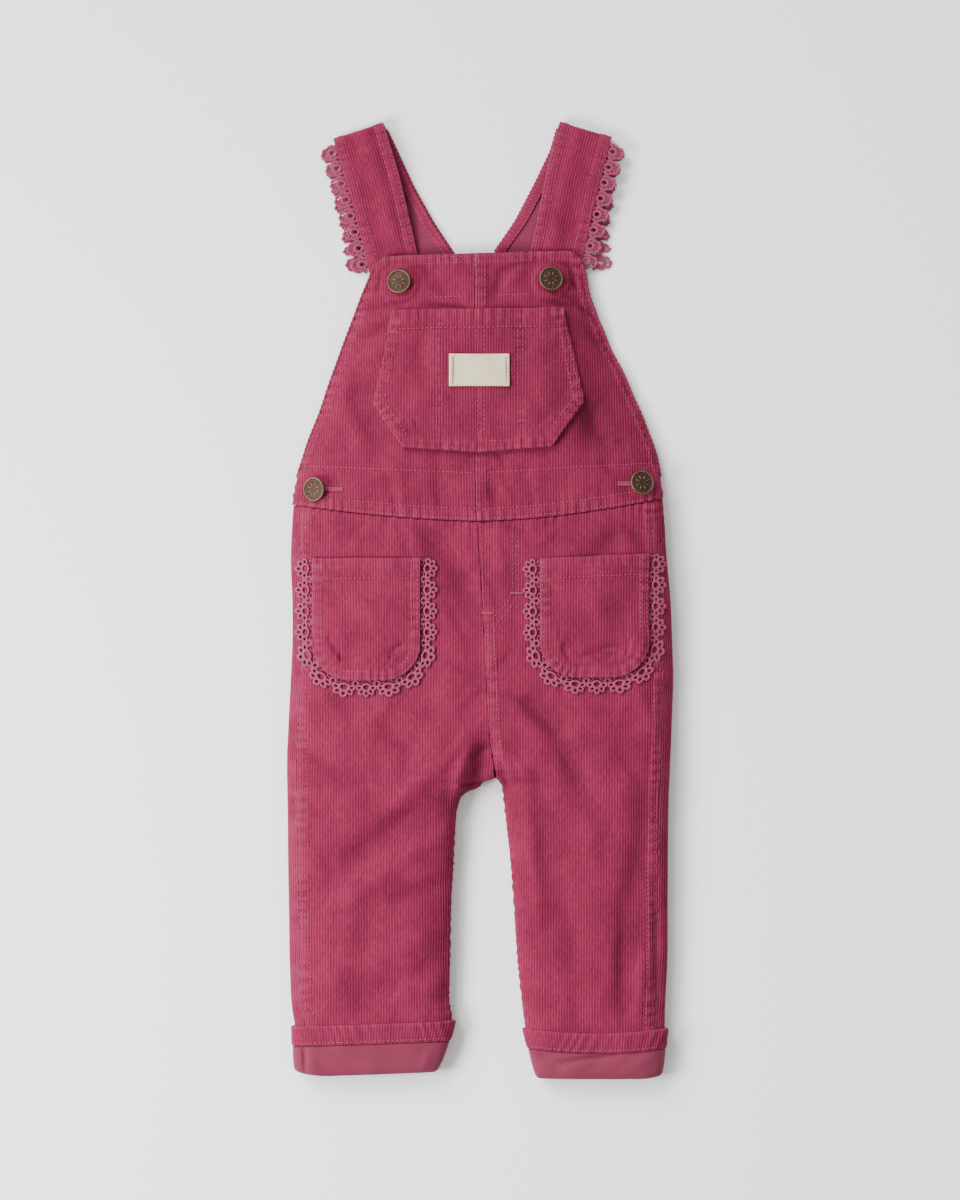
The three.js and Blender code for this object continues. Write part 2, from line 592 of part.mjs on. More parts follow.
function strapRows(strap) {
  const rows = strap.front.map((r) => ({ ...r, lean: 0, centre: r.top - STRAP_WALL / 2 }));
  const turn = strap.front[strap.front.length - 1];
  const along = new THREE.Vector2(turn.innerX - turn.outerX, turn.innerY - turn.outerY).normalize();
  const away = new THREE.Vector2(-along.y, along.x);
  if (away.y < 0) away.negate();
  const low = STRAP_WALL / 2;
  const middle = (rows[rows.length - 1].centre + low) / 2;
  const radius = rows[rows.length - 1].centre - middle;
  for (let k = 1; k <= FOLD_STEPS; k++) {
    const a = (k / FOLD_STEPS) * Math.PI;
    const reach = FOLD_RADIUS * Math.sin(a);
    rows.push({
      outerX: turn.outerX + away.x * reach,
      outerY: turn.outerY + away.y * reach,
      innerX: turn.innerX + away.x * reach,
      innerY: turn.innerY + away.y * reach,
      centre: middle + radius * Math.cos(a),
      lean: a,
      away,
    });
  }
  for (const r of strap.back) rows.push({ ...r, centre: low, lean: Math.PI, away });
  return rows.map((r) => ({ away, ...r }));
}

function strapPoint(rows, share, j, out) {
  const r = rows[j];
  const rise = Math.cos(r.lean);
  const reach = Math.sin(r.lean);
  const crown = j < 5 ? 0.8 * Math.sin(share * Math.PI) * (j > 1 ? 1 : 0) : 0;
  return new THREE.Vector3(
    mix(r.outerX, r.innerX, share) + r.away.x * reach * out,
    mix(r.outerY, r.innerY, share) + r.away.y * reach * out,
    r.centre + rise * out + crown,
  );
}

for (const [side, strap] of Object.entries(STRAPS)) {
  const rows = strapRows(strap);
  const half = STRAP_WALL / 2;
  addPiece(
    `strap_${side}`,
    clothWall(
      STRAP_COLUMNS,
      rows.length - 1,
      (i, j) => strapPoint(rows, i / STRAP_COLUMNS, j, half),
      (i, j) => strapPoint(rows, i / STRAP_COLUMNS, j, -half),
    ),
    corduroy,
  );
}

// Cuffs: the end of each leg turned up over itself, wrong side out, with its hem as a thicker band on top
const RING_STEPS = BACK_COLUMNS + FRONT_COLUMNS;

function legPoint(side, y, i, out) {
  const r = ring(side, y);
  const onBack = i < BACK_COLUMNS;
  return onRing(r, onBack ? backShare(i) * r.seam : mix(r.seam, r.end, frontShare(i - BACK_COLUMNS)), out);
}

function turnedCuff(side) {
  const profileOuter = [
    { y: CUFF_HEM - SEAM / 2, out: SEAM + WALL },
    { y: -314, out: SEAM + WALL },
    { y: CUFF_FOLD + 1.3, out: SEAM + WALL - 0.2 },
    { y: CUFF_FOLD, out: SEAM + 0.3 },
    { y: CUFF_FOLD, out: -WALL + 0.3 },
  ];
  const profileInner = [
    { y: CUFF_HEM - SEAM / 2, out: SEAM },
    { y: -314, out: SEAM },
    { y: LEG_END - SEAM * 2, out: SEAM },
    { y: LEG_END - SEAM * 2 - 0.1, out: SEAM - 0.3 },
    { y: LEG_END - SEAM * 2 - 0.2, out: -WALL + 0.1 },
  ];
  const at = (profile) => (i, j) => legPoint(side, profile[j].y, i, profile[j].out);
  return clothWall(RING_STEPS, 4, at(profileOuter), at(profileInner), true);
}

function cuffHem(side) {
  const at = (out) => (i, j) => legPoint(side, j ? CUFF_HEM + SEAM / 2 : CUFF_TOP, i, out);
  return clothWall(RING_STEPS, 1, at(SEAM + WALL + 0.8), at(SEAM), true);
}

for (const [name, side] of [["left", -1], ["right", 1]]) {
  addPiece(`cuff_${name}`, turnedCuff(side), clothBack);
  addPiece(`cuff_hem_${name}`, cuffHem(side), corduroy);
}

// Lace: a narrow band whose free edge is a row of round scallops, one for each motif
const LACE_STEPS = 4;

function laceBand(path, lengths, over, rows) {
  const total = lengths[lengths.length - 1];
  const motifs = Math.round(total / LACE.pitch);
  const columns = motifs * LACE_STEPS;
  const place = (i) => {
    const at = (i / columns) * total;
    let k = 0;
    while (k < lengths.length - 2 && lengths[k + 1] < at) k++;
    const t = (at - lengths[k]) / (lengths[k + 1] - lengths[k]);
    const point = path[k].point.clone().lerp(path[k + 1].point, t);
    const away = path[k].away.clone().lerp(path[k + 1].away, t).normalize();
    return { point, away };
  };
  const pointAt = (i, j, out) => {
    const { point, away } = place(i);
    const phase = (i % LACE_STEPS) / LACE_STEPS;
    const reach = j === 0 ? 0 : mix(LACE.valley, LACE.width, Math.pow(Math.sin(phase * Math.PI), 0.7));
    return over(point.clone().addScaledVector(away, reach * (j / rows)), out);
  };
  return clothWall(columns, rows, (i, j) => pointAt(i, j, LACE.wall), (i, j) => pointAt(i, j, 0));
}

function withLengths(path) {
  const lengths = [0];
  for (const { point } of path.slice(1)) lengths.push(lengths.at(-1) + point.distanceTo(path[lengths.length - 1].point));
  return lengths;
}

// Round a hip pocket: down its left side, round the bottom and up its right side
function pocketLacePath(pocket) {
  const path = [];
  const at = (x, y) => new THREE.Vector3(x, y, 0);
  const add = (x, y, ax, ay) => path.push({ point: at(x, y), away: at(ax, ay) });
  const round = HIP_POCKET_ROUND;
  const low = pocket.bottom + round;
  add(pocket.left - SEAM, pocket.top - 1, -1, 0);
  add(pocket.left - SEAM, (pocket.top + low) / 2, -1, 0);
  const corner = (middle, from) => {
    for (let k = 0; k <= 8; k++) {
      const a = from + ((k / 8) * Math.PI) / 2;
      add(middle - (round + SEAM) * Math.cos(a), low - (round + SEAM) * Math.sin(a), -Math.cos(a), -Math.sin(a));
    }
  };
  corner(pocket.left + round, 0);
  corner(pocket.right - round, Math.PI / 2);
  add(pocket.right + SEAM, (pocket.top + low) / 2, 1, 0);
  add(pocket.right + SEAM, pocket.top + pocket.tilt - 1, 1, 0);
  return path;
}

for (const [side, pocket] of Object.entries(HIP_POCKETS)) {
  const path = pocketLacePath(pocket);
  const over = (p, out) => overFront(p.x, p.y, LIE + out);
  addPiece(`lace_pocket_${side}`, laceBand(path, withLengths(path), over, 2), laceThread);
}

// Along a strap's outer edge: one length for its front half and one that shows from under it
function strapLacePath(rows, from, to) {
  const path = [];
  for (let j = from; j <= to; j++) {
    const r = rows[j];
    const away = new THREE.Vector3(r.outerX - r.innerX, r.outerY - r.innerY, 0).normalize();
    const edge = new THREE.Vector3(r.outerX, r.outerY, r.centre - LACE.wall / 2);
    path.push({ point: edge.addScaledVector(away, SEAM), away });
  }
  return path;
}

for (const [side, strap] of Object.entries(STRAPS)) {
  const rows = strapRows(strap);
  const fold = strap.front.length - 1;
  const frontPath = strapLacePath(rows, 1, fold);
  const level = (p, out) => p.clone().setZ(p.z + out);
  addPiece(`lace_strap_${side}`, laceBand(frontPath, withLengths(frontPath), level, 1), laceThread);
  const backPath = strapLacePath(rows, fold + FOLD_STEPS + 1, rows.length - 1);
  addPiece(`lace_back_${side}`, laceBand(backPath, withLengths(backPath), level, 1), laceThread);
}

// Buttons: a domed cap with a raised rim on a short shank
function buttonGeometry() {
  const { radius, rim, dome, shank } = BUTTON;
  const profile = [
    [0, 0],
    [shank, 0],
    [shank, 0.8],
    [radius - 0.6, 0.8],
    [radius, 1.4],
    [radius, dome - 0.4],
    [radius - rim / 2, dome],
    [radius - rim, dome - 0.3],
    [radius * 0.5, dome + 0.1],
    [0, dome + 0.4],
  ].map(([x, y]) => new THREE.Vector2(x, y));
  return new THREE.LatheGeometry(profile, 16).rotateX(Math.PI / 2);
}

for (const [name, spot] of Object.entries(BUTTONS)) {
  const seat = overFront(spot.x, spot.y, 0);
  const above = overFront(spot.x, spot.y, 1).sub(seat).normalize();
  const button = addPiece(`button_${name}`, buttonGeometry(), agedBrass);
  button.quaternion.setFromUnitVectors(new THREE.Vector3(0, 0, 1), above);
  button.position.copy(seat).addScaledVector(above, SEAM + 0.1);
}

export default overalls;
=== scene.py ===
import math

import bpy
import numpy as np
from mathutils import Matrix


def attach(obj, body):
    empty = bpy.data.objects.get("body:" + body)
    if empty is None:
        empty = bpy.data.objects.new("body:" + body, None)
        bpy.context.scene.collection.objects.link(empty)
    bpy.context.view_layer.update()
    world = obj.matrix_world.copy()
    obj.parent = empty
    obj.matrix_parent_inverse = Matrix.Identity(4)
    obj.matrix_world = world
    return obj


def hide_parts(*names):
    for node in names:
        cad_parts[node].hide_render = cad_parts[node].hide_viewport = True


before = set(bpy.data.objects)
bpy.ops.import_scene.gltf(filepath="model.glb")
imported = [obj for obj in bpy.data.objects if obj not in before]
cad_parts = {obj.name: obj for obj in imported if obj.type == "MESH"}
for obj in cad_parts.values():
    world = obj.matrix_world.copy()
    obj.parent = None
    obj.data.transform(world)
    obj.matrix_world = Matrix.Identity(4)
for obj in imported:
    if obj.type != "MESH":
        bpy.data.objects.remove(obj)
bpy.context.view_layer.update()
bpy.ops.object.select_all(action="DESELECT")

# Pants legs. Two fronts and two backs of fine cotton corduroy, cut with the ribs running down the leg and
# sewn into tubes. They lie on their back, lightly filled out, so a ring of cloth is flat underneath, turns
# up round the side and comes over the front. Sizes in this file are millimetres until a mesh is made.
WALL = 1.6
GAP = 0.15  # half the room between two pieces that are sewn together
RIB = 1.88  # from one rib of the corduroy to the next
RIB_HEIGHT = 0.5
RIB_PROFILE = np.array([0.0, 0.95, 0.95])  # three columns of the mesh to a rib
RIB_COLUMNS = len(RIB_PROFILE)
STEP = RIB / RIB_COLUMNS
SQUARENESS = 2.8
SIDE_SEAM_INSET = 7
SIDE_SEAM_TURNS_OUT = 32
WAIST, WAIST_RISE_LEFT, WAIST_RISE_RIGHT, BIB_HALF_WIDTH = 53, 11, 16, 126
WAIST_SHAPING = 55
LEG_END, CUFF_TOP, CUFF_HEM, CUFF_FOLD = -321, -290, -304, -324.6
# The lie of each leg's end: a whole end is higher or aslant, a hem sags, a fold is rounded at the side seam.
LEG_ENDS = {
    -1: {"middle": -74, "rise": 3, "slope": 0.035, "sag": 0, "corner": 3.4},
    1: {"middle": 79, "rise": 0, "slope": 0, "sag": 3.2, "corner": 3.6},
}
SIDE_NAMES = {-1: "left", 1: "right"}
END_SHIFTS_FROM, LEG_END_HALF_WIDTH, CORNER_FROM = -250, 50, 28
BODY_COLUMNS = ("y", "left", "right", "left_inner", "right_inner", "height", "edge", "upright", "turn", "lift")
BODY = [
    (237, -68.5, 66, -3.4, -3.4, 10.5, 6, 0, 0, 0),
    (221, -74, 71.5, -3.4, -3.4, 12.5, 5.6, 0, 0, 0),
    (204, -81, 75, -3.4, -3.4, 14.5, 5, 0, 0, 0),
    (176, -91.2, 86.6, -3.4, -3.4, 18, 4, 0, 0, 0),
    (149, -101.3, 99.3, -3.3, -3.3, 20.5, 3.8, 0, 0, 0),
    (122, -110.8, 110.4, -3.2, -3.2, 22, 3.8, 0.2, 0, 0),
    (95, -120.6, 120.2, -3.2, -3.2, 23, 5, 0.5, 0, 0),
    (78, -125.2, 123, -3, -3, 23.5, 6, 0.85, 0, 0),
    (58, -127, 124.8, -2.4, -2.4, 24, 6, 1, 0, 0),
    (27, -128.4, 126.8, -0.4, -0.4, 25, 6, 1, 0, 0),
    (0, -127.4, 129.3, 1.4, 1.4, 25, 6, 1, 0, 0),
    (-27, -127.3, 130.4, 3, 3, 24.5, 6, 1, 0.02, 0),
    (-55, -128.5, 131.2, 4.4, 4.4, 24, 6, 1, 0.06, 0),
    (-82, -129.9, 130.2, 5.8, 5.8, 23.5, 6, 1, 0.2, 0),
    (-95, -130.5, 129.8, 6.8, 6.8, 23.2, 6, 1, 0.4, 0),
    (-104, -131, 129.4, 8, 8, 23, 6, 1, 0.5, 0),
    (-112, -131, 129, 9.6, 9.6, 23, 6, 1, 0.68, 0),
    (-119, -131, 128.8, 10.3, 10.5, 22.6, 6, 1, 0.86, 0),
    (-122, -131, 128.7, 10.2, 10.8, 22.4, 6, 1, 0.97, 0),
    (-123, -130.9, 128.6, 4.2, 12.8, 22.2, 6, 1, 1, 0),
    (-124.4, -130.9, 128.5, 1, 14.2, 22.1, 6, 1, 1, 0),
    (-127.5, -130.8, 128.4, -0.6, 15.2, 22, 6, 1, 1, 0),
    (-130.8, -130.8, 128.2, -9.6, 15.7, 22, 6, 1, 1, 0),
    (-138, -130.6, 128, -14.6, 16.4, 22, 6, 1, 1, 0),
    (-150, -130.5, 127.8, -16.6, 17.8, 21.5, 6, 1, 1, 0),
    (-177, -130.3, 127.5, -18, 20.8, 21, 6, 1, 1, 0),
    (-210, -129.7, 127.4, -19.8, 23.3, 20.5, 6, 1, 1, 0),
    (-245, -129.2, 127.2, -20.4, 25.6, 19.5, 6, 1, 1, 0),
    (-276, -127.9, 125.6, -21, 29, 18, 5.5, 1, 1, 0.2),
    (-290, -125.6, 125.2, -19, 31, 16, 5, 1, 1, 2.8),
    (-304, -125.2, 124, -22.5, 34.5, 14, 5, 1, 1, 2.8),
    (-326, -124.4, 122, -31, 40, 12, 4.5, 1, 1, 2.8),
]
# The main folds and the creases between them: a line on the plan from one place to the other, its half width,
# and its height or depth.
CREASES = [
    (-40, 46, -10, -8, 7, -3), (-24, -62, -6, -112, 7, 1.8), (-26, -136, -88, -172, 11, -1.8),
    (-122, -112, -92, -122, 8, -1.4), (94, 46, 78, 30, 7, -2.2), (26, -68, 52, -84, 8, -2),
    (46, -150, 50, -250, 10, -1.8), (110, -140, 98, -262, 9, -2.4), (-84, 138, -70, 98, 8, -2.2),
    (84, 138, 72, 96, 8, -2.2), (-65, 225, -50, 227.6, 1.8, -1.2), (-50, 227.6, -38, 225.5, 1.8, -1.2),
    (-38, 225.5, -34, 219, 2.2, -1.2), (-67, 222, -68.5, 210, 1.8, -1.1), (-79, 199.5, -71, 198, 1.8, -1.9),
    (-71, 198, -51, 200.8, 1.9, -1.9), (-51, 200.8, -8, 197.4, 2.1, -1.4), (-61, 187, -80, 178, 3, -1.8),
    (-62, 193, -80, 186, 4, 1.4), (-64, 172, -92, 150, 7, 2), (-70, 150, -94, 132, 7, -1.6),
    (-36, 216, -24, 210, 4, -1.9), (-22, 224, -8, 226, 5, 1.5), (16, 222, 10, 206, 4, -1.9),
    (30, 224, 18, 214, 4, 1.5), (12, 222, 26, 226.5, 2, -1.2), (26, 226.5, 40, 229.5, 1.9, -1.2),
    (40, 229.5, 58, 226, 1.9, -1.2), (60, 226, 66, 212, 1.8, -1.4), (59, 216, 67, 212, 1.8, -1.4),
    (58, 206, 69, 203.7, 1.9, -1.4), (64, 201, 82, 189, 1.9, -1.9), (68, 194, 84, 178, 3, 1.4),
    (36, 203, 62, 199, 3, -1.6), (72, 190, 92, 164, 6, -2.3), (-80, 124, -62, 108, 7, -2.6),
    (70, 130, 90, 104, 8, -2.6), (-96, 128, -104, 100, 6, 1.6), (-30, 94, -22, 66, 5, -1.1),
    (84, 126, 94, 96, 5, 1.5), (-60, 92, -52, 74, 5, 1.1), (40, 94, 34, 72, 5, 1.1),
    (-100, 84, -92, 64, 5, -1.2), (88, 80, 94, 62, 5, 1.1), (-54, 46, -47, 34, 4, -1.5),
    (-36, 47, -19, 27, 5, -2.5), (-19, 27, -6, 2, 5, -2.2), (-30, 28, -16, 0, 5, 1.8),
    (18, 50, 34, 43, 3, -1.4), (41, 40, 51, 47, 3, 1.2), (100, 48, 110, 38, 4, -1.6),
    (6, 76, 12, 66, 3.2, -0.9), (13, 80, 20, 66, 3, 1.1), (11, 99, 18, 90, 2.6, -1.4),
    (-31, 80, -27, 62, 3.5, -1.4), (-62, 84, -58, 62, 4, -1.1), (34, 84, 36, 60, 4, -1.1),
    (100, 71, 112, 67, 2.6, -1.6), (82, 93, 90, 86, 3, -1.4), (-80, 50, -90, 40, 4, -1.2),
    (-110, 54, -104, 40, 4, -1.1), (10, 44, 16, 20, 4, 1.2), (4, 20, 14, -6, 4, -1.2),
    (-22, -4, -8, -26, 4, -1.5), (-34, -20, -12, -34, 4, 1.1), (-20, -44, -4, -52, 3, -1.2),
    (22, -36, 10, -48, 3, -1.2), (-2, -60, -16, -72, 3, 0.9), (-6, -88, -26, -112, 4, 1.8),
    (-26, -112, -60, -142, 6, 1.5), (-44, -143, -90, -178, 7, -1.9), (-24, -158, -100, -210, 7, 1.7),
    (-22, -190, -60, -202, 6, -1.5), (-24, -222, -112, -262, 8, 1.4), (-30, -246, -80, -268, 8, -1.3),
    (-116, -160, -92, -200, 6, -1.3), (-118, -104, -98, -116, 4, -1.5), (-122, -122, -104, -126, 4, -1.1),
    (-100, -64, -90, -76, 5, -1.4), (-70, -80, -50, -104, 7, -1.2), (-60, -66, -80, -90, 7, 1),
    (-100, -140, -70, -128, 6, 0.9), (-76, -205, -84, -282, 8, -1), (4, -103, -4, -131, 7.5, -5.6),
    (15, -112, 16, -134, 3.6, -2.8), (-2, -90, -13, -112, 4, 1.6), (-13, -112, -17, -138, 3.8, 1.9),
    (8, -98, -4, -106, 2.6, -1.6), (12, -90, 30, -98, 2.6, 1.3), (14, -96, 30, -108, 2.6, -1.4),
    (22, -104, 34, -120, 3, 1.2), (12, -92, 21, -120, 4, 1.4), (18, -65, 34, -70, 2.8, -1.8),
    (34, -70, 52, -88, 5, -2), (52, -88, 64, -118, 7, -2.1), (64, -118, 78, -150, 8, -1.8),
    (26, -74, 46, -112, 8, 1.8), (60, -66, 84, -86, 6, 1), (38, -120, 50, -204, 8, -1.9),
    (74, -160, 82, -190, 8, 1.6), (96, -200, 96, -288, 5.5, -1.8), (118, -190, 121, -288, 3.6, -1.5),
    (60, -210, 64, -284, 6, -1), (106, -60, 118, -90, 5, 1.2), (88, -96, 108, -120, 6, -1.3),
    (34, -160, 40, -230, 5, 0.9), (-50, -232, -48, -284, 6, 0.9), (110, -230, 108, -286, 4, 1.2),
]
# Round rises where a strap's end lies under a corner of the bib: centre, radius, height.
STRAP_END_RISES = [(-55, 214, 13, 1.3), (48.5, 216, 13, 1.3)]


def smooth(t):
    t = np.clip(t, 0, 1)
    return t * t * (3 - 2 * t)


def blend_of(a, b, t):
    return a + (b - a) * t


def bell(d, width):
    """A soft rise to 1 at a distance of 0."""
    return np.exp(-((d / width) ** 2))


def run_along(points):
    """The length of a line of points up to each of them."""
    return np.r_[0, np.cumsum(np.linalg.norm(np.diff(points, axis=0), axis=1))]


def read_grid(grid, row, column):
    """A grid read between its rows and its columns."""
    r, c = row.astype(int), column.astype(int)
    low = blend_of(grid[r, c], grid[r, c + 1], column - c)
    return blend_of(low, blend_of(grid[r + 1, c], grid[r + 1, c + 1], column - c), row - r)


def rows_by_height(rows, columns):
    """The rows of a table as arrays by column, from the lowest first column to the highest."""
    values = np.array(sorted(rows), float)
    return {name: values[:, i] for i, name in enumerate(columns)}


def read_curve(table, column, place):
    """A column read between its rows, on a smooth curve through them."""
    keys, values = list(table.values())[0], table[column]
    place = np.clip(np.asarray(place, float), keys[0], keys[-1])
    low, high = np.r_[0, np.arange(len(keys) - 1)], np.r_[np.arange(1, len(keys)), len(keys) - 1]
    slopes = (values[high] - values[low]) / (keys[high] - keys[low])
    k = np.clip(np.searchsorted(keys, place) - 1, 0, len(keys) - 2)
    span = keys[k + 1] - keys[k]
    t = (place - keys[k]) / span
    rest = 1 - t
    return (
        values[k] * rest**2 * (1 + 2 * t) + values[k + 1] * t**2 * (3 - 2 * t)
        + slopes[k] * span * t * rest**2 - slopes[k + 1] * span * t**2 * rest
    )


body_table = rows_by_height(BODY, BODY_COLUMNS)


def creased(x, y, rows):
    """How far the creases of a table lift or sink the cloth at a place on the plan."""
    total = 0 * x
    for x1, y1, x2, y2, width, depth in rows:
        dx, dy = x2 - x1, y2 - y1
        t = np.clip(((x - x1) * dx + (y - y1) * dy) / (dx * dx + dy * dy), 0, 1)
        off_line = (x - x1 - t * dx) ** 2 + (y - y1 - t * dy) ** 2
        total = total + depth * (1 - 0.5 * (2 * t - 1) ** 2) * np.exp(-off_line / width**2)
    return total


def fold_height(x, y):
    """How far the folds lift or sink the front at a place on the plan."""
    total = creased(x, y, CREASES) + 0.42 * np.sin(x / 8.7 + np.sin(y / 23) * 1.7) * np.sin(y / 13.3 + x / 41)
    total = total + 0.34 * np.sin((x + 0.7 * y) / 7.9 + np.sin(x / 19)) * np.sin((y - 0.4 * x) / 21.1 + 1.3)
    total = total + 0.28 * np.sin((x - 0.5 * y) / 4.7 + 2 * np.sin(y / 29)) * np.sin((x + y) / 16.7)
    for cx, cy, radius, rise in STRAP_END_RISES:
        total = total + rise * smooth((radius + 1.6 - np.hypot(x - cx, (y - cy) * 1.05)) / 3.2)
    return total


def waist_y(x):
    reach = np.minimum(1, np.abs(x) / BIB_HALF_WIDTH)
    return WAIST + np.where(x < 0, WAIST_RISE_LEFT, WAIST_RISE_RIGHT) * reach**1.7


def half_ring(side, y):
    """A ring's points, its length at each, and where the widest line and the side seam are."""
    read = lambda column: float(read_curve(body_table, column, y))
    outer, inner = side * read(SIDE_NAMES[side]), side * read(SIDE_NAMES[side] + "_inner")
    height, edge, lift = read("height"), read("edge"), max(0, read("lift"))
    turn = min(1, max(0, read("turn")))
    power = blend_of(1, 1 / SQUARENESS, min(1, max(0, read("upright"))))
    tuck = edge * float(smooth((turn - 0.8) / 0.2))
    a = np.linspace(0, math.pi / 2, 9)
    under = [inner + tuck * (1 - np.cos(a)), lift + tuck * (1 - np.sin(a))]
    round_side = [outer - edge * (1 - np.sin(a)), lift + edge * (1 - np.cos(a))]
    c = np.cos(np.linspace(0, math.acos(-(turn ** (SQUARENESS / 2))), 97)[1:])
    reach = -np.sign(c) * np.abs(c) ** (2 / SQUARENESS)
    rise = np.maximum(0, 1 - np.abs(reach) ** SQUARENESS) ** power
    over = [outer - (reach + 1) / (1 + turn) * (outer - inner), lift + edge + (height - edge) * rise]
    u, z = np.concatenate([np.stack(part) for part in (under, round_side, over)], 1)
    arc = np.r_[0, np.cumsum(np.hypot(np.diff(u), np.diff(z)))]
    wide = arc[17]
    past_side = 18 + int(np.argmax(u[18:] <= outer - SIDE_SEAM_INSET))
    sewn = np.interp(SIDE_SEAM_INSET - outer, -u[past_side - 1:past_side + 1], arc[past_side - 1:past_side + 1])
    seam = blend_of(sewn, wide, float(smooth((y - SIDE_SEAM_TURNS_OUT) / (WAIST - SIDE_SEAM_TURNS_OUT))))
    kept = np.r_[True, np.diff(arc) > 1e-6]
    return u[kept], z[kept], arc[kept], wide, seam, sewn


FORM_LOW, FORM_HIGH, FORM_SAMPLES = -327, 238, 600
form_y = np.arange(FORM_LOW, FORM_HIGH + 1.0)
form = {}
for side in (-1, 1):
    table = {name: [] for name in ("u", "z", "nu", "nz", "wide", "seam", "sewn", "end")}
    for y in form_y:
        u, z, arc, wide, seam, sewn = half_ring(side, y)
        at = np.linspace(0, arc[-1], FORM_SAMPLES + 1)
        du, dz = np.gradient(u, arc), np.gradient(z, arc)
        size = np.hypot(du, dz)
        for name, value in zip(table, (u, z, dz / size, -du / size)):
            table[name].append(np.interp(at, arc, value))
        for name, value in zip(("wide", "seam", "sewn", "end"), (wide, seam, sewn, arc[-1])):
            table[name].append(value)
    form[side] = {name: np.array(values) for name, values in table.items()}


def place_on_ring(side, name, y):
    return np.interp(y, form_y, form[side][name])


def end_shift(side, x, y):
    """How far the end of a leg lies up or down the surface from its even place."""
    end = LEG_ENDS[side]
    below = smooth((CUFF_HEM - y) / (CUFF_HEM - CUFF_FOLD))
    across = np.cos(np.minimum(1, np.abs(x - end["middle"]) / LEG_END_HALF_WIDTH) * (math.pi / 2))
    sideways = np.maximum(0, side * (x - end["middle"]) - CORNER_FROM) / (LEG_END_HALF_WIDTH - CORNER_FROM)
    whole = end["rise"] + end["slope"] * (x - end["middle"]) - end["sag"] * across * (1 - below)
    whole = whole + end["corner"] * below * sideways**2
    return whole * smooth((END_SHIFTS_FROM - y) / (END_SHIFTS_FROM - CUFF_TOP))


def on_body(side, y, arc, out):
    """Points of the body at a height and a length along its half ring, moved out from the cloth."""
    y, arc = np.broadcast_arrays(np.asarray(y, float), np.asarray(arc, float))
    row = np.clip(y - FORM_LOW, 0, len(form_y) - 1.001)
    spot = np.clip(arc / place_on_ring(side, "end", y), 0, 0.999999) * FORM_SAMPLES
    u, z, nu, nz = (read_grid(form[side][name], row, spot) for name in ("u", "z", "nu", "nz"))
    size = np.hypot(nu, nz)
    nu, nz = nu / size, nz / size
    top = np.where(arc > place_on_ring(side, "wide", y), smooth(nz / 0.6), 0)
    away = out + top * fold_height(side * u, y)
    return np.stack([side * (u + nu * away), y + end_shift(side, side * u, y) + 0 * away, z + nz * away], -1)


def linear(hex_colour):
    """An sRGB hex colour as Blender's linear one."""
    parts = [int(hex_colour[i:i + 2], 16) / 255 for i in (1, 3, 5)]
    return tuple(p / 12.92 if p <= 0.04045 else ((p + 0.055) / 1.055) ** 2.4 for p in parts) + (1.0,)


def set_inputs(node, inputs):
    """Puts a value or a link on each input. A node stands for its first output."""
    for name, value in inputs.items():
        source = value.outputs[0] if isinstance(value, bpy.types.Node) else value
        if isinstance(source, bpy.types.NodeSocket):
            node.id_data.links.new(source, node.inputs[name])
        else:
            node.inputs[name].default_value = source


def add_node(tree, kind, inputs=None, **settings):
    """Adds one node, with its settings, and with values or links on its inputs."""
    made = tree.nodes.new("ShaderNode" + kind)
    for name, value in settings.items():
        setattr(made, name, value)
    set_inputs(made, inputs or {})
    return made


def start_material(name):
    """A named material, its tree and its shader."""
    material = bpy.data.materials.new(name)
    material.use_nodes = True
    return material, material.node_tree, material.node_tree.nodes["Principled BSDF"]


# Cotton corduroy: cut pile in ribs, garment-dyed and washed. The pile takes light softly with a pale bloom at
# grazing angles. The grooves between the ribs are painted darker as painted shade. The raised seams have rubbed
# pale, with painted highlight on their pucker tops, and the hollows of puckers and folds carry painted shade.
PAINTED_GROOVE_SHADE, CREST, RUBBED_PALE_AND_HIGHLIGHT, BLOOM = "#661733", "#832442", "#93415b", "#cf8a98"
corduroy, tree, shader = start_material("cotton_corduroy")
cloth_uv = add_node(tree, "UVMap", uv_map="cloth")
place = add_node(tree, "TexCoord").outputs["Object"]
# The attribute holds the seams' real rubbing above 0, with painted highlight on pucker tops, and painted shade in the
# hollows of folds and puckers below 0.
wear_and_shade_values = add_node(tree, "Attribute", attribute_name="wear_and_shade").outputs["Fac"]
across_ribs = add_node(tree, "SeparateXYZ", {"Vector": cloth_uv})
rib_angle = add_node(tree, "Math", {0: across_ribs, 1: math.pi / (RIB / 1000)}, operation="MULTIPLY")
rib_wave = add_node(tree, "Math", {0: rib_angle}, operation="SINE")
rib_crest = add_node(tree, "Math", {0: rib_wave, 1: rib_wave}, operation="MULTIPLY")
pile_way = add_node(tree, "Mapping", {"Vector": cloth_uv, "Scale": (900, 210, 1)})
streaks = add_node(tree, "TexNoise", {"Vector": pile_way, "Scale": 1.0, "Detail": 4.0, "Roughness": 0.65})
nap_way = add_node(tree, "Mapping", {"Vector": place, "Scale": (1.5, 0.8, 1)})
clouds = {"Scale": 42.0, "Detail": 4.0, "Roughness": 0.62, "Distortion": 0.6}
wash = add_node(tree, "TexNoise", {"Vector": nap_way, **clouds})
mottle = add_node(tree, "TexNoise", {"Vector": nap_way, "Scale": 330.0, "Detail": 3.0, "Roughness": 0.7})
shares = []
for source, low, high, darkest, palest in (
    (streaks, 0.3, 0.7, -0.22, 0.5), (wash, 0.33, 0.67, 0.84, 1.13),
    (mottle, 0.3, 0.7, 0.89, 1.11), (wear_and_shade_values, -1.0, 0.0, 0.66, 1.0),
):
    limits = {"From Min": low, "From Max": high, "To Min": darkest, "To Max": palest}
    shares.append(add_node(tree, "MapRange", {"Value": source, **limits}))
streak_share, wash_share, mottle_share, painted_hollow_shade = shares
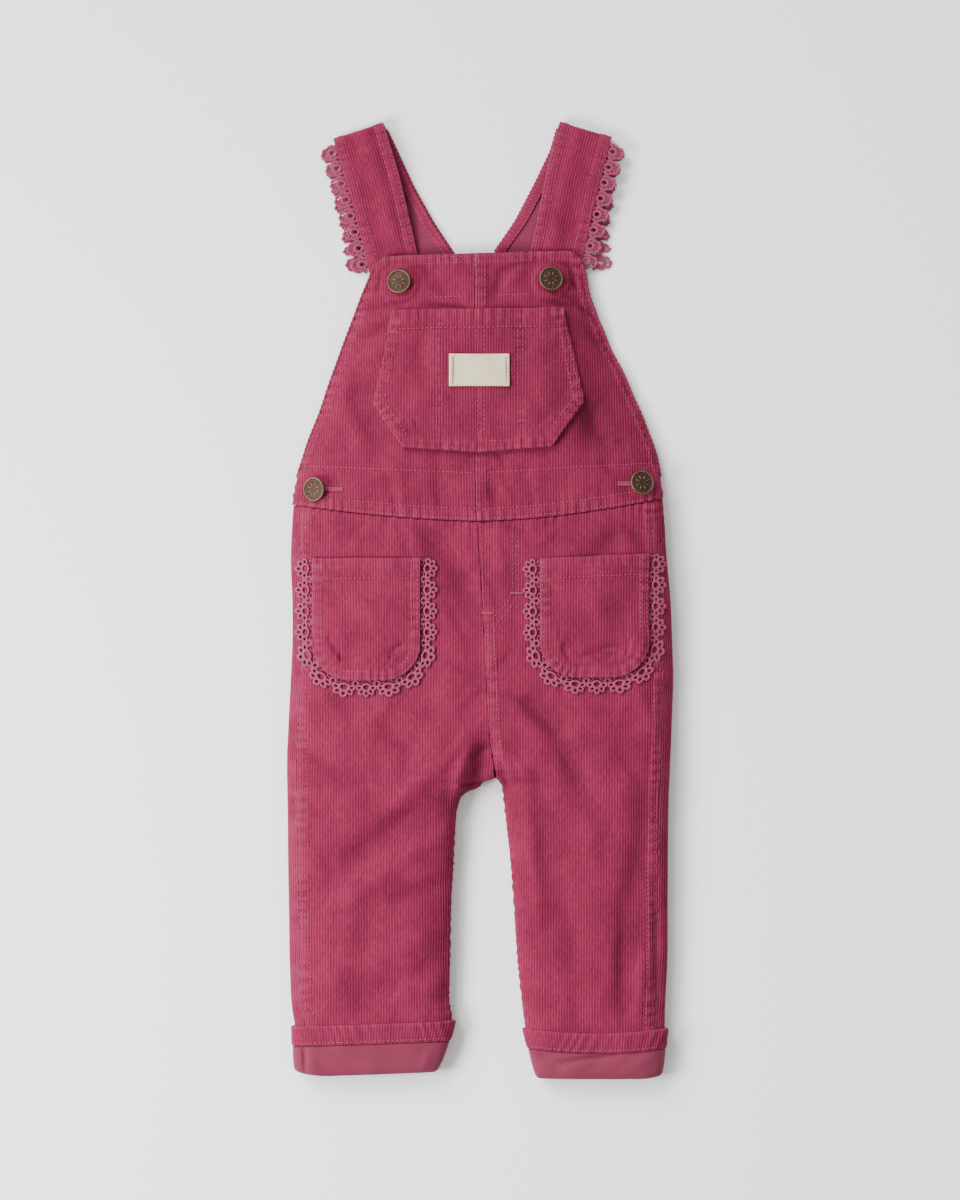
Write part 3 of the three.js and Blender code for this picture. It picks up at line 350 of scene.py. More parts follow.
# Painted shade: towards the groove between two ribs the pile takes the darker groove colour, over the modelled ribs.
on_crest = add_node(tree, "Math", {0: rib_crest, 1: 0.72, 2: streak_share}, operation="MULTIPLY_ADD", use_clamp=True)
pile_and_groove_shade = add_node(tree, "MixRGB", {"Fac": on_crest, "Color1": linear(PAINTED_GROOVE_SHADE), "Color2": linear(CREST)})
cloudy = add_node(tree, "Math", {0: wash_share, 1: mottle_share}, operation="MULTIPLY")
# Painted shade: the attribute's negative part darkens the hollows of folds and puckers to as little as 0.66.
cloudy = add_node(tree, "Math", {0: cloudy, 1: painted_hollow_shade}, operation="MULTIPLY")
washed_and_shaded = add_node(tree, "MixRGB", {"Fac": 1.0, "Color1": pile_and_groove_shade, "Color2": cloudy}, blend_type="MULTIPLY")
# Rubbed pale seams, which are real wear, with the tops of their puckers paler still as painted highlight.
rubbed_and_highlight_share = add_node(tree, "Math", {0: wear_and_shade_values, 1: 0.4}, operation="MULTIPLY", use_clamp=True)
rubbed_and_highlit = add_node(tree, "MixRGB", {"Fac": rubbed_and_highlight_share, "Color1": washed_and_shaded, "Color2": linear(RUBBED_PALE_AND_HIGHLIGHT)})
fuzz = add_node(tree, "TexNoise", {"Vector": place, "Scale": 2600.0, "Detail": 2.0})
pile_height = add_node(tree, "Math", {0: fuzz, 1: 0.5, 2: streaks}, operation="MULTIPLY_ADD")
pile_bump = add_node(tree, "Bump", {"Height": pile_height, "Strength": 0.5, "Distance": 0.0005})
set_inputs(shader, {"Base Color": rubbed_and_highlit, "Normal": pile_bump, "Roughness": 0.95, "Specular IOR Level": 0.15})
set_inputs(shader, {"Sheen Weight": 0.24, "Sheen Roughness": 0.4, "Sheen Tint": linear(BLOOM)})

# The corduroy's reverse: a plain, slightly paler twill with no pile.
reverse, tree, shader = start_material("corduroy_reverse_twill")
cloth_uv = add_node(tree, "UVMap", uv_map="cloth")
place = add_node(tree, "TexCoord").outputs["Object"]
across_ribs = add_node(tree, "SeparateXYZ", {"Vector": cloth_uv})
twill_way = add_node(tree, "Mapping", {"Vector": cloth_uv, "Rotation": (0, 0, 0.9)})
twill = add_node(tree, "TexWave", {"Vector": twill_way, "Scale": 420.0, "Distortion": 1.5, "Detail": 2.0})
slub = add_node(tree, "TexNoise", {"Vector": place, "Scale": 900.0, "Detail": 3.0})
twill_share = add_node(tree, "Math", {0: twill.outputs[1], 1: slub}, operation="MULTIPLY")
woven = add_node(tree, "MixRGB", {"Fac": twill_share, "Color1": linear("#6d2139"), "Color2": linear("#8a3751")})
rib_angle = add_node(tree, "Math", {0: across_ribs, 1: 2 * math.pi / (RIB / 1000)}, operation="MULTIPLY")
rib_wave = add_node(tree, "Math", {0: rib_angle}, operation="SINE")
faint_ribs = {"From Min": -1.0, "From Max": 1.0, "To Min": 0.8, "To Max": 1.06}
rib_share = add_node(tree, "MapRange", {"Value": rib_wave, **faint_ribs})
ribbed = add_node(tree, "MixRGB", {"Fac": 1.0, "Color1": woven, "Color2": rib_share}, blend_type="MULTIPLY")
twill_bump = add_node(tree, "Bump", {"Height": twill_share, "Strength": 0.35, "Distance": 0.0003})
set_inputs(shader, {"Base Color": ribbed, "Normal": twill_bump, "Roughness": 0.9})
set_inputs(shader, {"Sheen Weight": 0.1, "Specular IOR Level": 0.2})


def add_piece(name, points, faces, *skins):
    """A smooth mesh piece, from points in millimetres, that rides on the one body."""
    mesh = bpy.data.meshes.new(name)
    mesh.from_pydata((points / 1000).tolist(), [], faces)
    mesh.polygons.foreach_set("use_smooth", np.ones(len(faces), bool))
    for skin in skins:
        mesh.materials.append(skin)
    piece = bpy.data.objects.new(name, mesh)
    bpy.context.collection.objects.link(piece)
    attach(piece, "root")
    return piece


def cloth_piece(name, outer, inner, across, along, wear_and_shade, kept=None, all_round=False, skins=(corduroy, reverse)):
    """A closed wall of cloth between two grids of points, each row from the first to the last column kept."""
    rows, columns = outer.shape[:2]
    k = np.arange(columns + 1) % columns if all_round else np.arange(columns)
    first, last = kept or (np.zeros(rows, int), np.full(rows, columns - 1))
    ident = np.arange(rows)[:, None] * columns + np.clip(k[None, :], first[:, None], last[:, None])
    used, ident = np.unique(ident, return_inverse=True)
    ident, n = ident.reshape(rows, len(k)), len(used)
    outer, inner = outer.reshape(-1, 3)[used], inner.reshape(-1, 3)[used]
    a, b, c, d = (grid.ravel() for grid in (ident[:-1, :-1], ident[:-1, 1:], ident[1:, 1:], ident[1:, :-1]))
    quads = np.stack([a, b, c, d], 1)[(a != b) & (c != d)]
    closing, opening = (a == b) & (c != d), (a != b) & (c == d)
    threes = np.concatenate([np.stack([a, c, d], 1)[closing], np.stack([a, b, c], 1)[opening]])
    normals = np.cross(outer[quads[:, 1]] - outer[quads[:, 0]], outer[quads[:, 3]] - outer[quads[:, 0]])
    if (normals * (outer - inner)[quads[:, 0]]).sum() < 0:
        quads, threes = quads[:, ::-1], threes[:, ::-1]
    starts = np.concatenate([quads.ravel(), threes.ravel()])
    ends = np.concatenate([np.roll(quads, -1, 1).ravel(), np.roll(threes, -1, 1).ravel()])
    edge = ~np.isin(starts * n + ends, ends * n + starts)
    p, q = starts[edge], ends[edge]
    faces = quads.tolist() + threes.tolist() + np.stack([q, p, p + n, q + n], 1).tolist()
    outside = len(faces)
    faces += (quads[:, ::-1] + n).tolist() + (threes[:, ::-1] + n).tolist()
    piece = add_piece(name, np.concatenate([outer, inner]), faces, *skins)
    mesh = piece.data
    mesh.polygons.foreach_set("material_index", (np.arange(len(faces)) >= outside).astype(np.int32))
    corner = np.zeros(len(mesh.loops), np.int32)
    mesh.loops.foreach_get("vertex_index", corner)
    places, wear_and_shade_values = (
        np.stack([np.tile(np.broadcast_to(v, (rows, columns)).ravel()[used], 2) for v in values], 1)
        for values in ((across, along), (wear_and_shade,))
    )
    mesh.uv_layers.new(name="cloth").data.foreach_set("uv", (places / 1000)[corner].astype(np.float32).ravel())
    mesh.attributes.new("wear_and_shade", "FLOAT", "POINT").data.foreach_set("value", wear_and_shade_values.astype(np.float32).ravel())
    return piece


def rib_relief(across):
    """The ribs' height over the wall, from the crest down, at a length across them."""
    crest_share = np.interp((across / STEP) % RIB_COLUMNS, np.arange(RIB_COLUMNS + 1), np.r_[RIB_PROFILE, 0])
    return crest_share * RIB_HEIGHT - RIB_HEIGHT


def hem_relief(d, width=7.2, stitches=(2, 7)):
    """A turned and stitched edge: a thicker band with a groove at each row of stitches."""
    band = 0.5 * smooth((width + 1.2 - d) / 1.6) - 0.45 * bell(d, 0.8)
    return band - sum(0.34 * bell(d - s, 0.7) for s in stitches)


def pucker(d, along, reach=8, seed=0.0, size=0.62):
    """The small waves that sewing draws up beside a seam."""
    wave = np.sin(along * 0.93 + 1.9 * np.sin(along / 17 + seed) + 1.2 * np.sin(along / 4.9 + 3 * seed) + seed)
    return size * np.exp(-np.maximum(0, d) / reach) * wave * (0.6 + 0.4 * np.sin(along / 9 + 2 * seed))


def seam_wear_and_shade(d, along, seed=0.0):
    """How far a seam is painted pale and dark: its edge rubbed pale by wear, the tops of its puckers paler, partly
    rubbed and partly painted highlight, and their hollows darker with painted shade.
    """
    tops = 0.22 + 1.05 * pucker(0 * d, along, 8, seed, 0.46)
    return 0.55 * bell(d, 1.1) + smooth((8.2 - d) / 2) * tops


def ribs_from(low, high):
    """The mesh's columns across the ribs, between two places, with column 0 in a groove."""
    return np.arange(math.ceil(low / STEP), math.floor(high / STEP) + 1) * STEP


def rows_between(high, low, widest, fine=(), finest=1.0):
    """Heights from high to low, closer together inside the bands named in fine."""
    heights = [high]
    while heights[-1] > low:
        y = heights[-1]
        step = finest if any(a >= y > b for a, b in fine) else widest
        heights.append(max(low, y - step))
    return np.array(heights)


def trim(place, low, high):
    """Holds each row's columns inside its edges, and says which are its first and its last."""
    columns = np.arange(place.shape[1])
    first = np.where(place <= low, columns, 0).max(1)
    last = np.where(place >= high, columns, place.shape[1] - 1).min(1)
    return np.clip(place, low, high), (first, last)


# One stitch of thread, modelled once and copied along every seam.
def reshape(size, turn, axis, shift=(0, 0, 0)):
    """Sizes, turns and moves the mesh of the object just added, in edit mode."""
    bpy.ops.object.mode_set(mode="EDIT")
    bpy.ops.mesh.select_all(action="SELECT")
    bpy.ops.transform.resize(value=size)
    bpy.ops.transform.rotate(value=turn, orient_axis=axis, center_override=(0, 0, 0))
    bpy.ops.transform.translate(value=shift)
    bpy.ops.object.mode_set(mode="OBJECT")


def taken_mesh():
    """The points and the faces of the object just added, which is then removed."""
    shape = bpy.context.object
    points, faces = [tuple(v.co) for v in shape.data.vertices], [tuple(f.vertices) for f in shape.data.polygons]
    bpy.data.objects.remove(shape)
    return np.array(points), faces


bpy.ops.mesh.primitive_uv_sphere_add(segments=5, ring_count=3, radius=1)
reshape((0.26, 0.34, 1.25), math.pi / 2, "Y")
stitch_points, stitch_faces = taken_mesh()

# Spun polyester sewing thread, dyed to match and paler than the cloth, with the dull gleam of twisted fibre.
thread, tree, shader = start_material("polyester_sewing_thread")
place = add_node(tree, "TexCoord").outputs["Object"]
fibre = add_node(tree, "TexNoise", {"Vector": place, "Scale": 1800.0, "Detail": 2.0})
thread_colour = add_node(tree, "MixRGB", {"Fac": fibre, "Color1": linear("#7f2b45"), "Color2": linear("#a65069")})
set_inputs(shader, {"Base Color": thread_colour, "Roughness": 0.8, "Specular IOR Level": 0.1})


def stitches_mesh(name, frames):
    """One mesh of many stitches. A row of frames has their places, their three axes and their length shares."""
    centres, along, side_way, up, stretch = (np.concatenate(parts) for parts in zip(*frames))
    placed = (
        centres[:, None] + along[:, None] * (stitch_points[None, :, 0:1] * stretch[:, None, None])
        + side_way[:, None] * stitch_points[None, :, 1:2] + up[:, None] * stitch_points[None, :, 2:3]
    ).reshape(-1, 3)
    starts = np.arange(len(centres)) * len(stitch_points)
    piece = add_piece(name, placed, [[v + start for v in face] for start in starts for face in stitch_faces], thread)


def spaced(line, over, pitch):
    """Places at an even pitch along a line of points, with the line's direction and the cloth's there."""
    lengths = run_along(line)
    count = max(1, int(lengths[-1] / pitch))
    at = (np.arange(count) + 0.5) * lengths[-1] / count
    read = lambda values, where: np.stack([np.interp(where, lengths, values[:, i]) for i in range(3)], 1)
    centres = read(line, at)
    along = read(line, at + 0.4) - read(line, at - 0.4)
    along /= np.linalg.norm(along, axis=1)[:, None]
    up = read(over - line, at)
    up -= along * (up * along).sum(1)[:, None]
    up /= np.linalg.norm(up, axis=1)[:, None]
    return centres, along, np.cross(up, along), up, np.ones(count)


def sew(name, lines, pitch=3.1):
    stitches_mesh(name, [spaced(line, over, pitch) for line, over in lines])


def rope_edge(name, lines, radius, period, twist=2.0, low=0.72):
    """A folded edge that the ribs run over: a soft roll with a bead at each rib, turned like rope."""
    verts, faces = [], []
    for line, over in lines:
        centres, along, side_way, up, _ = spaced(line, over, period / 5)
        turn = np.arange(8) * math.pi / 4
        beads = np.abs(np.cos(math.pi * np.arange(len(centres))[:, None] / 5 + twist * turn[None, :] / 4))
        size = radius * (low + (1 - low) * beads)
        size[0], size[-1] = 0.05, 0.05
        sideways, upward = (np.cos(turn) * size)[..., None], (np.sin(turn) * size)[..., None]
        ring = centres[:, None] + side_way[:, None] * sideways + up[:, None] * upward
        start, count = sum(len(v) for v in verts), len(centres)
        verts.append(ring.reshape(-1, 3))
        grid = start + np.arange(count)[:, None] * 8 + np.arange(8)[None, :]
        after = np.roll(grid, -1, 1)
        faces += np.stack([grid[:-1], after[:-1], after[1:], grid[1:]], -1).reshape(-1, 4).tolist()
        faces += [grid[0][::-1].tolist(), grid[-1].tolist()]
    piece = add_piece(name, np.concatenate(verts), faces, corduroy)
    piece.data.uv_layers.new(name="cloth")
    wear_and_shade_values = np.full(len(piece.data.vertices), 0.35, np.float32)
    piece.data.attributes.new("wear_and_shade", "FLOAT", "POINT").data.foreach_set("value", wear_and_shade_values)


def body_line(side, y, arc, out):
    return on_body(side, y, arc, out), on_body(side, y, arc, out + 1)


EDGE_INSET = 0.05  # a front piece stops this far from the middle line
CROTCH, FELLED_FROM, SEAM_ROWS = -116, -5, (2, 7)
# Painted shade: the hollows of the folds are painted darker by this much for each millimetre of depth.
FOLD_HOLLOW_SHADE = 0.32  # how much darker the hollows of the folds are, for a millimetre
front_rows = rows_between(WAIST, LEG_END, 2.1, fine=[(WAIST, 44), (-118, -134)], finest=1.05)
crown_x = {-1: -78, 1: 78}  # the rib that runs straight down each leg


def crown_place(side, y):
    """How far along the half ring the leg's straight rib is."""
    grid, count = form[side], FORM_SAMPLES
    rows = np.clip(np.round(np.asarray(y) - FORM_LOW).astype(int), 0, len(form_y) - 1)
    flat = rows.ravel()
    low = []
    for r in flat:
        start = int(grid["wide"][r] / grid["end"][r] * count) + 1
        spot = np.interp(-abs(crown_x[side]), -grid["u"][r, start:], np.arange(start, count + 1))
        low.append(spot / count * grid["end"][r])
    return np.array(low).reshape(rows.shape)


crown_by_y = {side: crown_place(side, form_y) for side in (-1, 1)}
crown = lambda side, y: np.interp(y, form_y, crown_by_y[side])


def leg_panel(side, rows, across, straight, low_edge, high_edge):
    """A panel's places: x, y, lengths along the half ring and columns kept, with its top row on the waist."""
    base = rows[:, None] + 0 * across[None, :]
    fade = smooth(1 - (WAIST - base) / WAIST_SHAPING)
    y = base.copy()
    for _ in range(4):
        x = on_body(side, y, np.clip(straight(y) + across, low_edge(y), high_edge(y)), 0)[..., 0]
        y = base + (waist_y(x) - WAIST) * fade
        y[0] -= GAP
    return x, y, *trim(straight(y) + across, low_edge(y), high_edge(y))


def leg_front(side):
    across = ribs_from(-100, 90)
    low_edge = lambda h: place_on_ring(side, "seam", h) + GAP
    high_edge = lambda h: place_on_ring(side, "end", h) - EDGE_INSET
    x, y, arc, kept = leg_panel(side, front_rows, across, lambda h: crown(side, h), low_edge, high_edge)
    to_middle, to_waist, to_sewn = high_edge(y) - arc, waist_y(x) - y, arc - place_on_ring(side, "sewn", y)
    leg, sewn = smooth((CROTCH - y) / 6), smooth((to_sewn + 0.9) / 0.7)
    felled, joined = smooth((FELLED_FROM - y) / 8) if side > 0 else 0, bell(to_middle, 1.6)
    relief = rib_relief(across)[None, :] * (1 - 0.5 * bell(to_sewn, 1.2))
    relief = relief + sewn * hem_relief(to_sewn) + pucker(np.abs(to_sewn), y, 9, 0.4 * side)
    middle = felled * (hem_relief(to_middle, 7, (1.6, 6)) + 0.55 * joined) + pucker(to_middle, y, 7, 0.9, 0.55)
    middle = middle + (0.3 if side < 0 else 0) * joined - 0.25 * (1 - felled) * bell(to_middle, 0.9)
    inseam = hem_relief(to_middle) + pucker(to_middle, y, 8, 2.2 * side)
    relief = relief + blend_of(middle, inseam, leg) + pucker(to_waist, x, 8, 1.1, 0.42) - 0.35 * bell(to_waist, 1.2)
    wear_and_shade = sewn * seam_wear_and_shade(to_sewn, y, 0.4 * side) + seam_wear_and_shade(to_middle, y, 0.9) * np.where(leg > 0.5, 1, felled)
    # Painted shade in the hollows of the folds.
    wear_and_shade = wear_and_shade + FOLD_HOLLOW_SHADE * np.clip(fold_height(x, y), -2, 0)
    outer, inner = on_body(side, y, arc, relief), on_body(side, y, arc, -WALL)
    piece = cloth_piece(f"pants_front_{SIDE_NAMES[side]}", outer, inner, across, y, wear_and_shade, kept)
    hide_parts(f"front_{SIDE_NAMES[side]}")


def leg_back(side):
    across = ribs_from(-90, 110)
    rows = rows_between(WAIST, LEG_END, 9, fine=[(WAIST, 24), (-118, -134)], finest=2)
    low_edge = lambda h: GAP + 0 * h
    high_edge = lambda h: place_on_ring(side, "seam", h) - GAP
    straight = lambda h: place_on_ring(side, "wide", h) - 62
    _, y, arc, kept = leg_panel(side, rows, across, straight, low_edge, high_edge)
    outer = on_body(side, y, arc, rib_relief(across)[None, :] + 0 * y)
    wear_and_shade = seam_wear_and_shade(high_edge(y) - arc, y, 0.4 * side)
    piece = cloth_piece(f"pants_back_{SIDE_NAMES[side]}", outer, on_body(side, y, arc, -WALL), across, y, wear_and_shade, kept)
    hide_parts(f"back_{SIDE_NAMES[side]}")


for side in (-1, 1):
    leg_back(side)
    leg_front(side)

# The legs' sewing: two rows beside each side seam and one beside each inseam, and the mock fly with its two bar
# tacks.
side_y, inseam_y = np.arange(60.0, -288, -2), np.arange(-128.0, -288, -2)
leg_lines = []
for side in (-1, 1):
    for d in SEAM_ROWS:
        leg_lines.append(body_line(side, side_y, place_on_ring(side, "sewn", side_y) + d, -0.1))
    leg_lines.append(body_line(side, inseam_y, place_on_ring(side, "end", inseam_y) - 2, -0.1))
sew("sewing_leg_seams", leg_lines)

# The front's height as a map on the plan, for all that is sewn on it.
MAP_LEFT, MAP_RIGHT = -133, 133
map_x = np.arange(MAP_LEFT, MAP_RIGHT + 1.0)
front_map = []
for y in form_y:
    halves = []
    for side in (-1, 1):
        arcs = np.linspace(place_on_ring(side, "wide", y), place_on_ring(side, "end", y), 240)
        halves.append(on_body(side, np.full(240, y), arcs, 0))
    points = np.concatenate([halves[0], halves[1][::-1]])
    points = points[np.argsort(points[:, 0], kind="stable")]
    front_map.append(np.interp(map_x, points[:, 0], points[:, 2]))
front_map = np.array(front_map)


def softened(grid, reach):
    """A height map averaged over a few millimetres each way."""
    for axis in (0, 1):
        width = [(reach, reach) if i == axis else (0, 0) for i in (0, 1)]
        total = np.cumsum(np.pad(grid, width, mode="edge"), axis=axis)
        total = np.concatenate([np.zeros_like(np.take(total, [0], axis)), total], axis)
        size, window = grid.shape[axis], 2 * reach + 1
        grid = (np.take(total, range(window, window + size), axis) - np.take(total, range(size), axis)) / window
    return grid


bent_over = softened(front_map, 3)
slope_y, slope_x = np.gradient(bent_over)


def on_front(x, y, out, soft=0.0):
    """Points over the front at a place on the plan, leaning out with the cloth underneath."""
    x, y = np.broadcast_arrays(np.asarray(x, float), np.asarray(y, float))
    column, row = np.clip(x - MAP_LEFT, 0, len(map_x) - 1.001), np.clip(y - FORM_LOW, 0, len(form_y) - 1.001)
    grids = (front_map, bent_over, slope_x, slope_y)
    close, bent, sx, sy = (read_grid(grid, row, column) for grid in grids)
    size = np.sqrt(sx * sx + sy * sy + 1)
    return np.stack([x - sx / size * out, y - sy / size * out, blend_of(close, bent, soft) + out / size], -1)


def front_line(x, y, out):
    return on_front(x, y, out), on_front(x, y, out + 1)


def along_line(corners, spacing=2.0):
    """Places along a line with corners, closely spaced."""
    corners = np.array(corners, float)
    lengths = run_along(corners)
    at = np.linspace(0, lengths[-1], max(2, int(lengths[-1] / spacing)))
    return np.interp(at, lengths, corners[:, 0]), np.interp(at, lengths, corners[:, 1])


fly_curve = [(21.8, 50), (21.8, 6.5), (19.7, -0.3), (15.6, -5.8), (9.5, -11.2)]
fly_inner = [(25.8, 50), (25.8, 6.5), (23.8, -0.3), (19, -8.5), (12.2, -15.3), (9.4, -22)]
centre_line = [(0.4, 52), (2.4, 0), (3, -9)]
felled_left = [(4.4, -10), (5, -27), (6.4, -55), (7.8, -82), (9.6, -100), (11.6, -112)]
felled_right = [(9, -14), (9.6, -27), (11, -55), (12.6, -82), (14.4, -100), (16, -112)]
fly_rows = (fly_curve, fly_inner, centre_line, felled_left, felled_right)
bar_tacks = [along_line([(21.6, 4), (29, 4)], 0.5), along_line([(1.6, -9.6), (9, -9.6)], 0.5)]
sew("sewing_mock_fly", [front_line(*along_line(row), 0.15) for row in fly_rows])
sew("sewing_bar_tacks", [front_line(x, y + shift, 0.3) for shift in (0, 0.7) for x, y in bar_tacks], 1.1)

# Bib. Two halves with the ribs upright, joined by a felled seam that stands up on the right half, with the
# side edges and the clipped top corners turned in and stitched twice, over a facing stitched down inside.
TOP_OF_BIB, TILT_OF_BIB_TOP = 234.9, 0.03
BIB_ROWS, BIB_WAIST_ROWS, CORNER_CLIPPED, SEAM_PALE = (2, 6), (2, 8.4), 5.5, 0.8
FACING_Y, FACING_SLOPES, FACING_UNDER_TOP = 85.5, {-1: 0.12 * 0.35, 1: 0.12 * 0.5}, 29
bib_levels = np.r_[np.linspace(0, 0.06, 11), np.linspace(0.07, 0.76, 62), np.linspace(0.767, 1, 32)]


def bib_half(side):
    across = ribs_from(0, 150)
    level = bib_levels[:, None] + 0 * across[None, :]
    y = WAIST + (TOP_OF_BIB - WAIST) * level
    low_edge = lambda h: place_on_ring(side, "wide", h) + GAP
    high_edge = lambda h: place_on_ring(side, "end", h) - EDGE_INSET
    for _ in range(4):
        arc = np.clip(high_edge(y) - across, low_edge(y), high_edge(y))
        x = on_body(side, y, arc, 0)[..., 0]
        clipped = np.maximum(0, CORNER_CLIPPED - (arc - low_edge(y))) * 0.9
        y = blend_of(waist_y(x) + GAP, TOP_OF_BIB + TILT_OF_BIB_TOP * x - clipped, level)
    from_middle, kept = trim(across - high_edge(y), -high_edge(y), -low_edge(y))
    arc = -from_middle
    to_side, to_seam, to_waist = arc - low_edge(y), high_edge(y) - arc, y - waist_y(x)
    to_top = TOP_OF_BIB + TILT_OF_BIB_TOP * x - y
    joined = bell(to_seam, 1.6)
    relief = rib_relief(across)[None, :] + hem_relief(to_side, 6.5, BIB_ROWS) + pucker(to_side, y, 6, 0.7 * side)
    relief = relief + pucker(to_seam, y, 6, 1.3) + (0.3 if side > 0 else 0.45) * joined
    if side > 0:
        relief = relief + hem_relief(to_seam, 7.6, (1.2, 6.6)) + 0.25 * smooth((8 - to_seam) / 1.4)
    relief = relief + hem_relief(to_top, 7, BIB_ROWS) + pucker(to_top, x, 6, 1.9, 0.5)
    relief = relief + 0.55 * smooth((9.5 - to_waist) / 1.5) + pucker(to_waist, x, 12, 0.3, 0.45)
    relief = relief - sum(0.4 * bell(to_waist - row, 0.8) for row in BIB_WAIST_ROWS)
    to_facing = y - FACING_Y - np.where(x < 0, FACING_SLOPES[-1], FACING_SLOPES[1]) * np.abs(x)
    under_pocket = smooth((50 - np.abs(x)) / 14)
    relief = relief - 0.5 * bell(to_facing, 1.2) - 0.4 * bell(to_top - FACING_UNDER_TOP, 1.4) * under_pocket
    wear_and_shade = seam_wear_and_shade(to_side, y, 0.7 * side) + seam_wear_and_shade(to_top, x, 1.9) + seam_wear_and_shade(to_waist, x, 0.3) * SEAM_PALE
    wear_and_shade = wear_and_shade + (SEAM_PALE * seam_wear_and_shade(to_seam - 1, y, 1.3) if side > 0 else 0)
    # Painted shade in the hollows of the folds.
    wear_and_shade = wear_and_shade + FOLD_HOLLOW_SHADE * np.clip(fold_height(x, y), -2, 0) - 0.12
    outer, inner = on_body(side, y, arc, relief), on_body(side, y, arc, -WALL)
    piece = cloth_piece(f"bib_front_{SIDE_NAMES[side]}", outer, inner, across, y, wear_and_shade, kept)
    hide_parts(f"bib_{SIDE_NAMES[side]}")


bib_lines = []
for side in (-1, 1):
    bib_half(side)
    edge_y, top_x, waist_x = np.arange(80.0, 228, 2), side * np.arange(5.0, 63, 2), side * np.arange(2.0, 124, 2)
    for d in BIB_ROWS:
        bib_lines.append(body_line(side, edge_y, place_on_ring(side, "wide", edge_y) + d, 0.0))
        bib_lines.append(front_line(top_x, TOP_OF_BIB + TILT_OF_BIB_TOP * top_x - d, 0.0))
    for d in BIB_WAIST_ROWS:
        bib_lines.append(front_line(waist_x, waist_y(waist_x) + d, 0.2))
    facing_x = side * np.arange(1.0, 122, 2)
    bib_lines.append(front_line(facing_x, FACING_Y + FACING_SLOPES[side] * np.abs(facing_x), -0.4))
    facing_x = side * np.arange(12.0, 36, 2)
    bib_lines.append(front_line(facing_x, TOP_OF_BIB - FACING_UNDER_TOP + TILT_OF_BIB_TOP * facing_x, -0.4))
for x in (-2.2, 3.4):  # beside the felled seam, above and below the pocket
    for stretch in (np.arange(228.0, 197, -2), np.arange(98.0, 54, -2)):
        bib_lines.append(front_line(np.full(len(stretch), x), stretch, 0.7))
sew("sewing_bib", bib_lines)
edge_y = np.arange(82.0, 229, 2)
for side in (-1, 1):
    edge = body_line(side, edge_y, place_on_ring(side, "wide", edge_y) + 0.1, -0.2)
    rope_edge(f"bib_rolled_edge_{SIDE_NAMES[side]}", [edge], 1.25, 3.5, 2.6, 0.6)

# Back yoke. One flat piece from the waist to the straps; only its edges and its reverse show.
YOKE_TURN_RADIUS = 6
YOKE_SIDES = rows_by_height([
    (53, 0, 90), (69, 0, 90), (82, 0.4, 50), (94, 1.4, 12), (104, 2.4, 0), (132, 6.5, 0), (176, 8, 0),
    (214, 3, 0), (237, 0, 0),
], ("y", "inset", "turned_up"))
YOKE_TOP_X, YOKE_TOP_Y = (-70, -17.5, -9, 1, 7, 12, 67), (232.6, 233.6, 226, 224, 227.5, 235, 234.6)
across = ribs_from(-131, 131)
share = np.linspace(-1, 1, len(across))[None, :]
side_sign = np.where(share < 0, -1, 1)
level = np.linspace(0, 1, 20)[:, None]
y = WAIST + 180 * level + 0 * share
for _ in range(4):
    widest = np.where(share < 0, -read_curve(body_table, "left", y), read_curve(body_table, "right", y))
    widest = widest - read_curve(YOKE_SIDES, "inset", y)
    turned = np.maximum(0, np.radians(read_curve(YOKE_SIDES, "turned_up", y)) - GAP / YOKE_TURN_RADIUS)
    flat = widest - YOKE_TURN_RADIUS * np.sin(turned)
    cloth_reach = np.abs(share) * (flat + YOKE_TURN_RADIUS * turned)
    angle = np.maximum(0, cloth_reach - flat) / YOKE_TURN_RADIUS
    u = np.minimum(cloth_reach, flat)
    low = waist_y(side_sign * (u + np.sin(angle) * YOKE_TURN_RADIUS)) + GAP
    top_y = np.interp(np.where(share < 0, share * 70, share * 67), YOKE_TOP_X, YOKE_TOP_Y)
    y = blend_of(low, top_y, level)
outer, inner = (
    np.stack([side_sign * (u + np.sin(angle) * radius), y, YOKE_TURN_RADIUS - np.cos(angle) * radius], -1)
    for radius in (YOKE_TURN_RADIUS + rib_relief(across)[None, :] + 0 * y, YOKE_TURN_RADIUS - WALL + 0 * y)
)
yoke = cloth_piece("back_yoke_cloth", outer, inner, across, y, 0)
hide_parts("back_yoke")

# Straps. Each is the yoke drawn out into a band with its ribs along it, hemmed twice on both edges. It comes
# up the back, folds over at the shoulder and runs down to the button under the bib's corner.
STRAP_WALL, FOLD_RADIUS = 1.6, 3.1
STRAPS = {  # the outer and inner edge of each row on the plan, and in front the top's height
    "left": {
        "front": [
            (-70.5, 203, -36.5, 197, 4), (-76.6, 228, -42.4, 236, 4), (-80.5, 245, -46, 252, 5.2),
            (-90, 280, -54.5, 288, 9), (-98.6, 309.4, -64.4, 320.6, 7.8),
        ],
        "back": [(-93, 290, -56, 303), (-81, 262, -45.5, 280), (-73, 244, -31.5, 255), (-70, 233, -17.5, 234)],
    },
    "right": {
        "front": [
            (63, 203, 28.5, 199, 4), (69.6, 232, 34.4, 238, 4), (73.4, 248, 38, 254, 5.2),
            (81, 282, 45, 290, 9), (88.6, 310.4, 53, 320.9, 7.8),
        ],
        "back": [(83.5, 292, 48.5, 305), (74, 264, 37.5, 282), (68.5, 246, 24.5, 257), (66.5, 235, 10, 236)],
    },
}
FOLDED_UNDER, STILL_FLAT = 3.13, 0.01  # leans beyond and below which a row is not in the fold


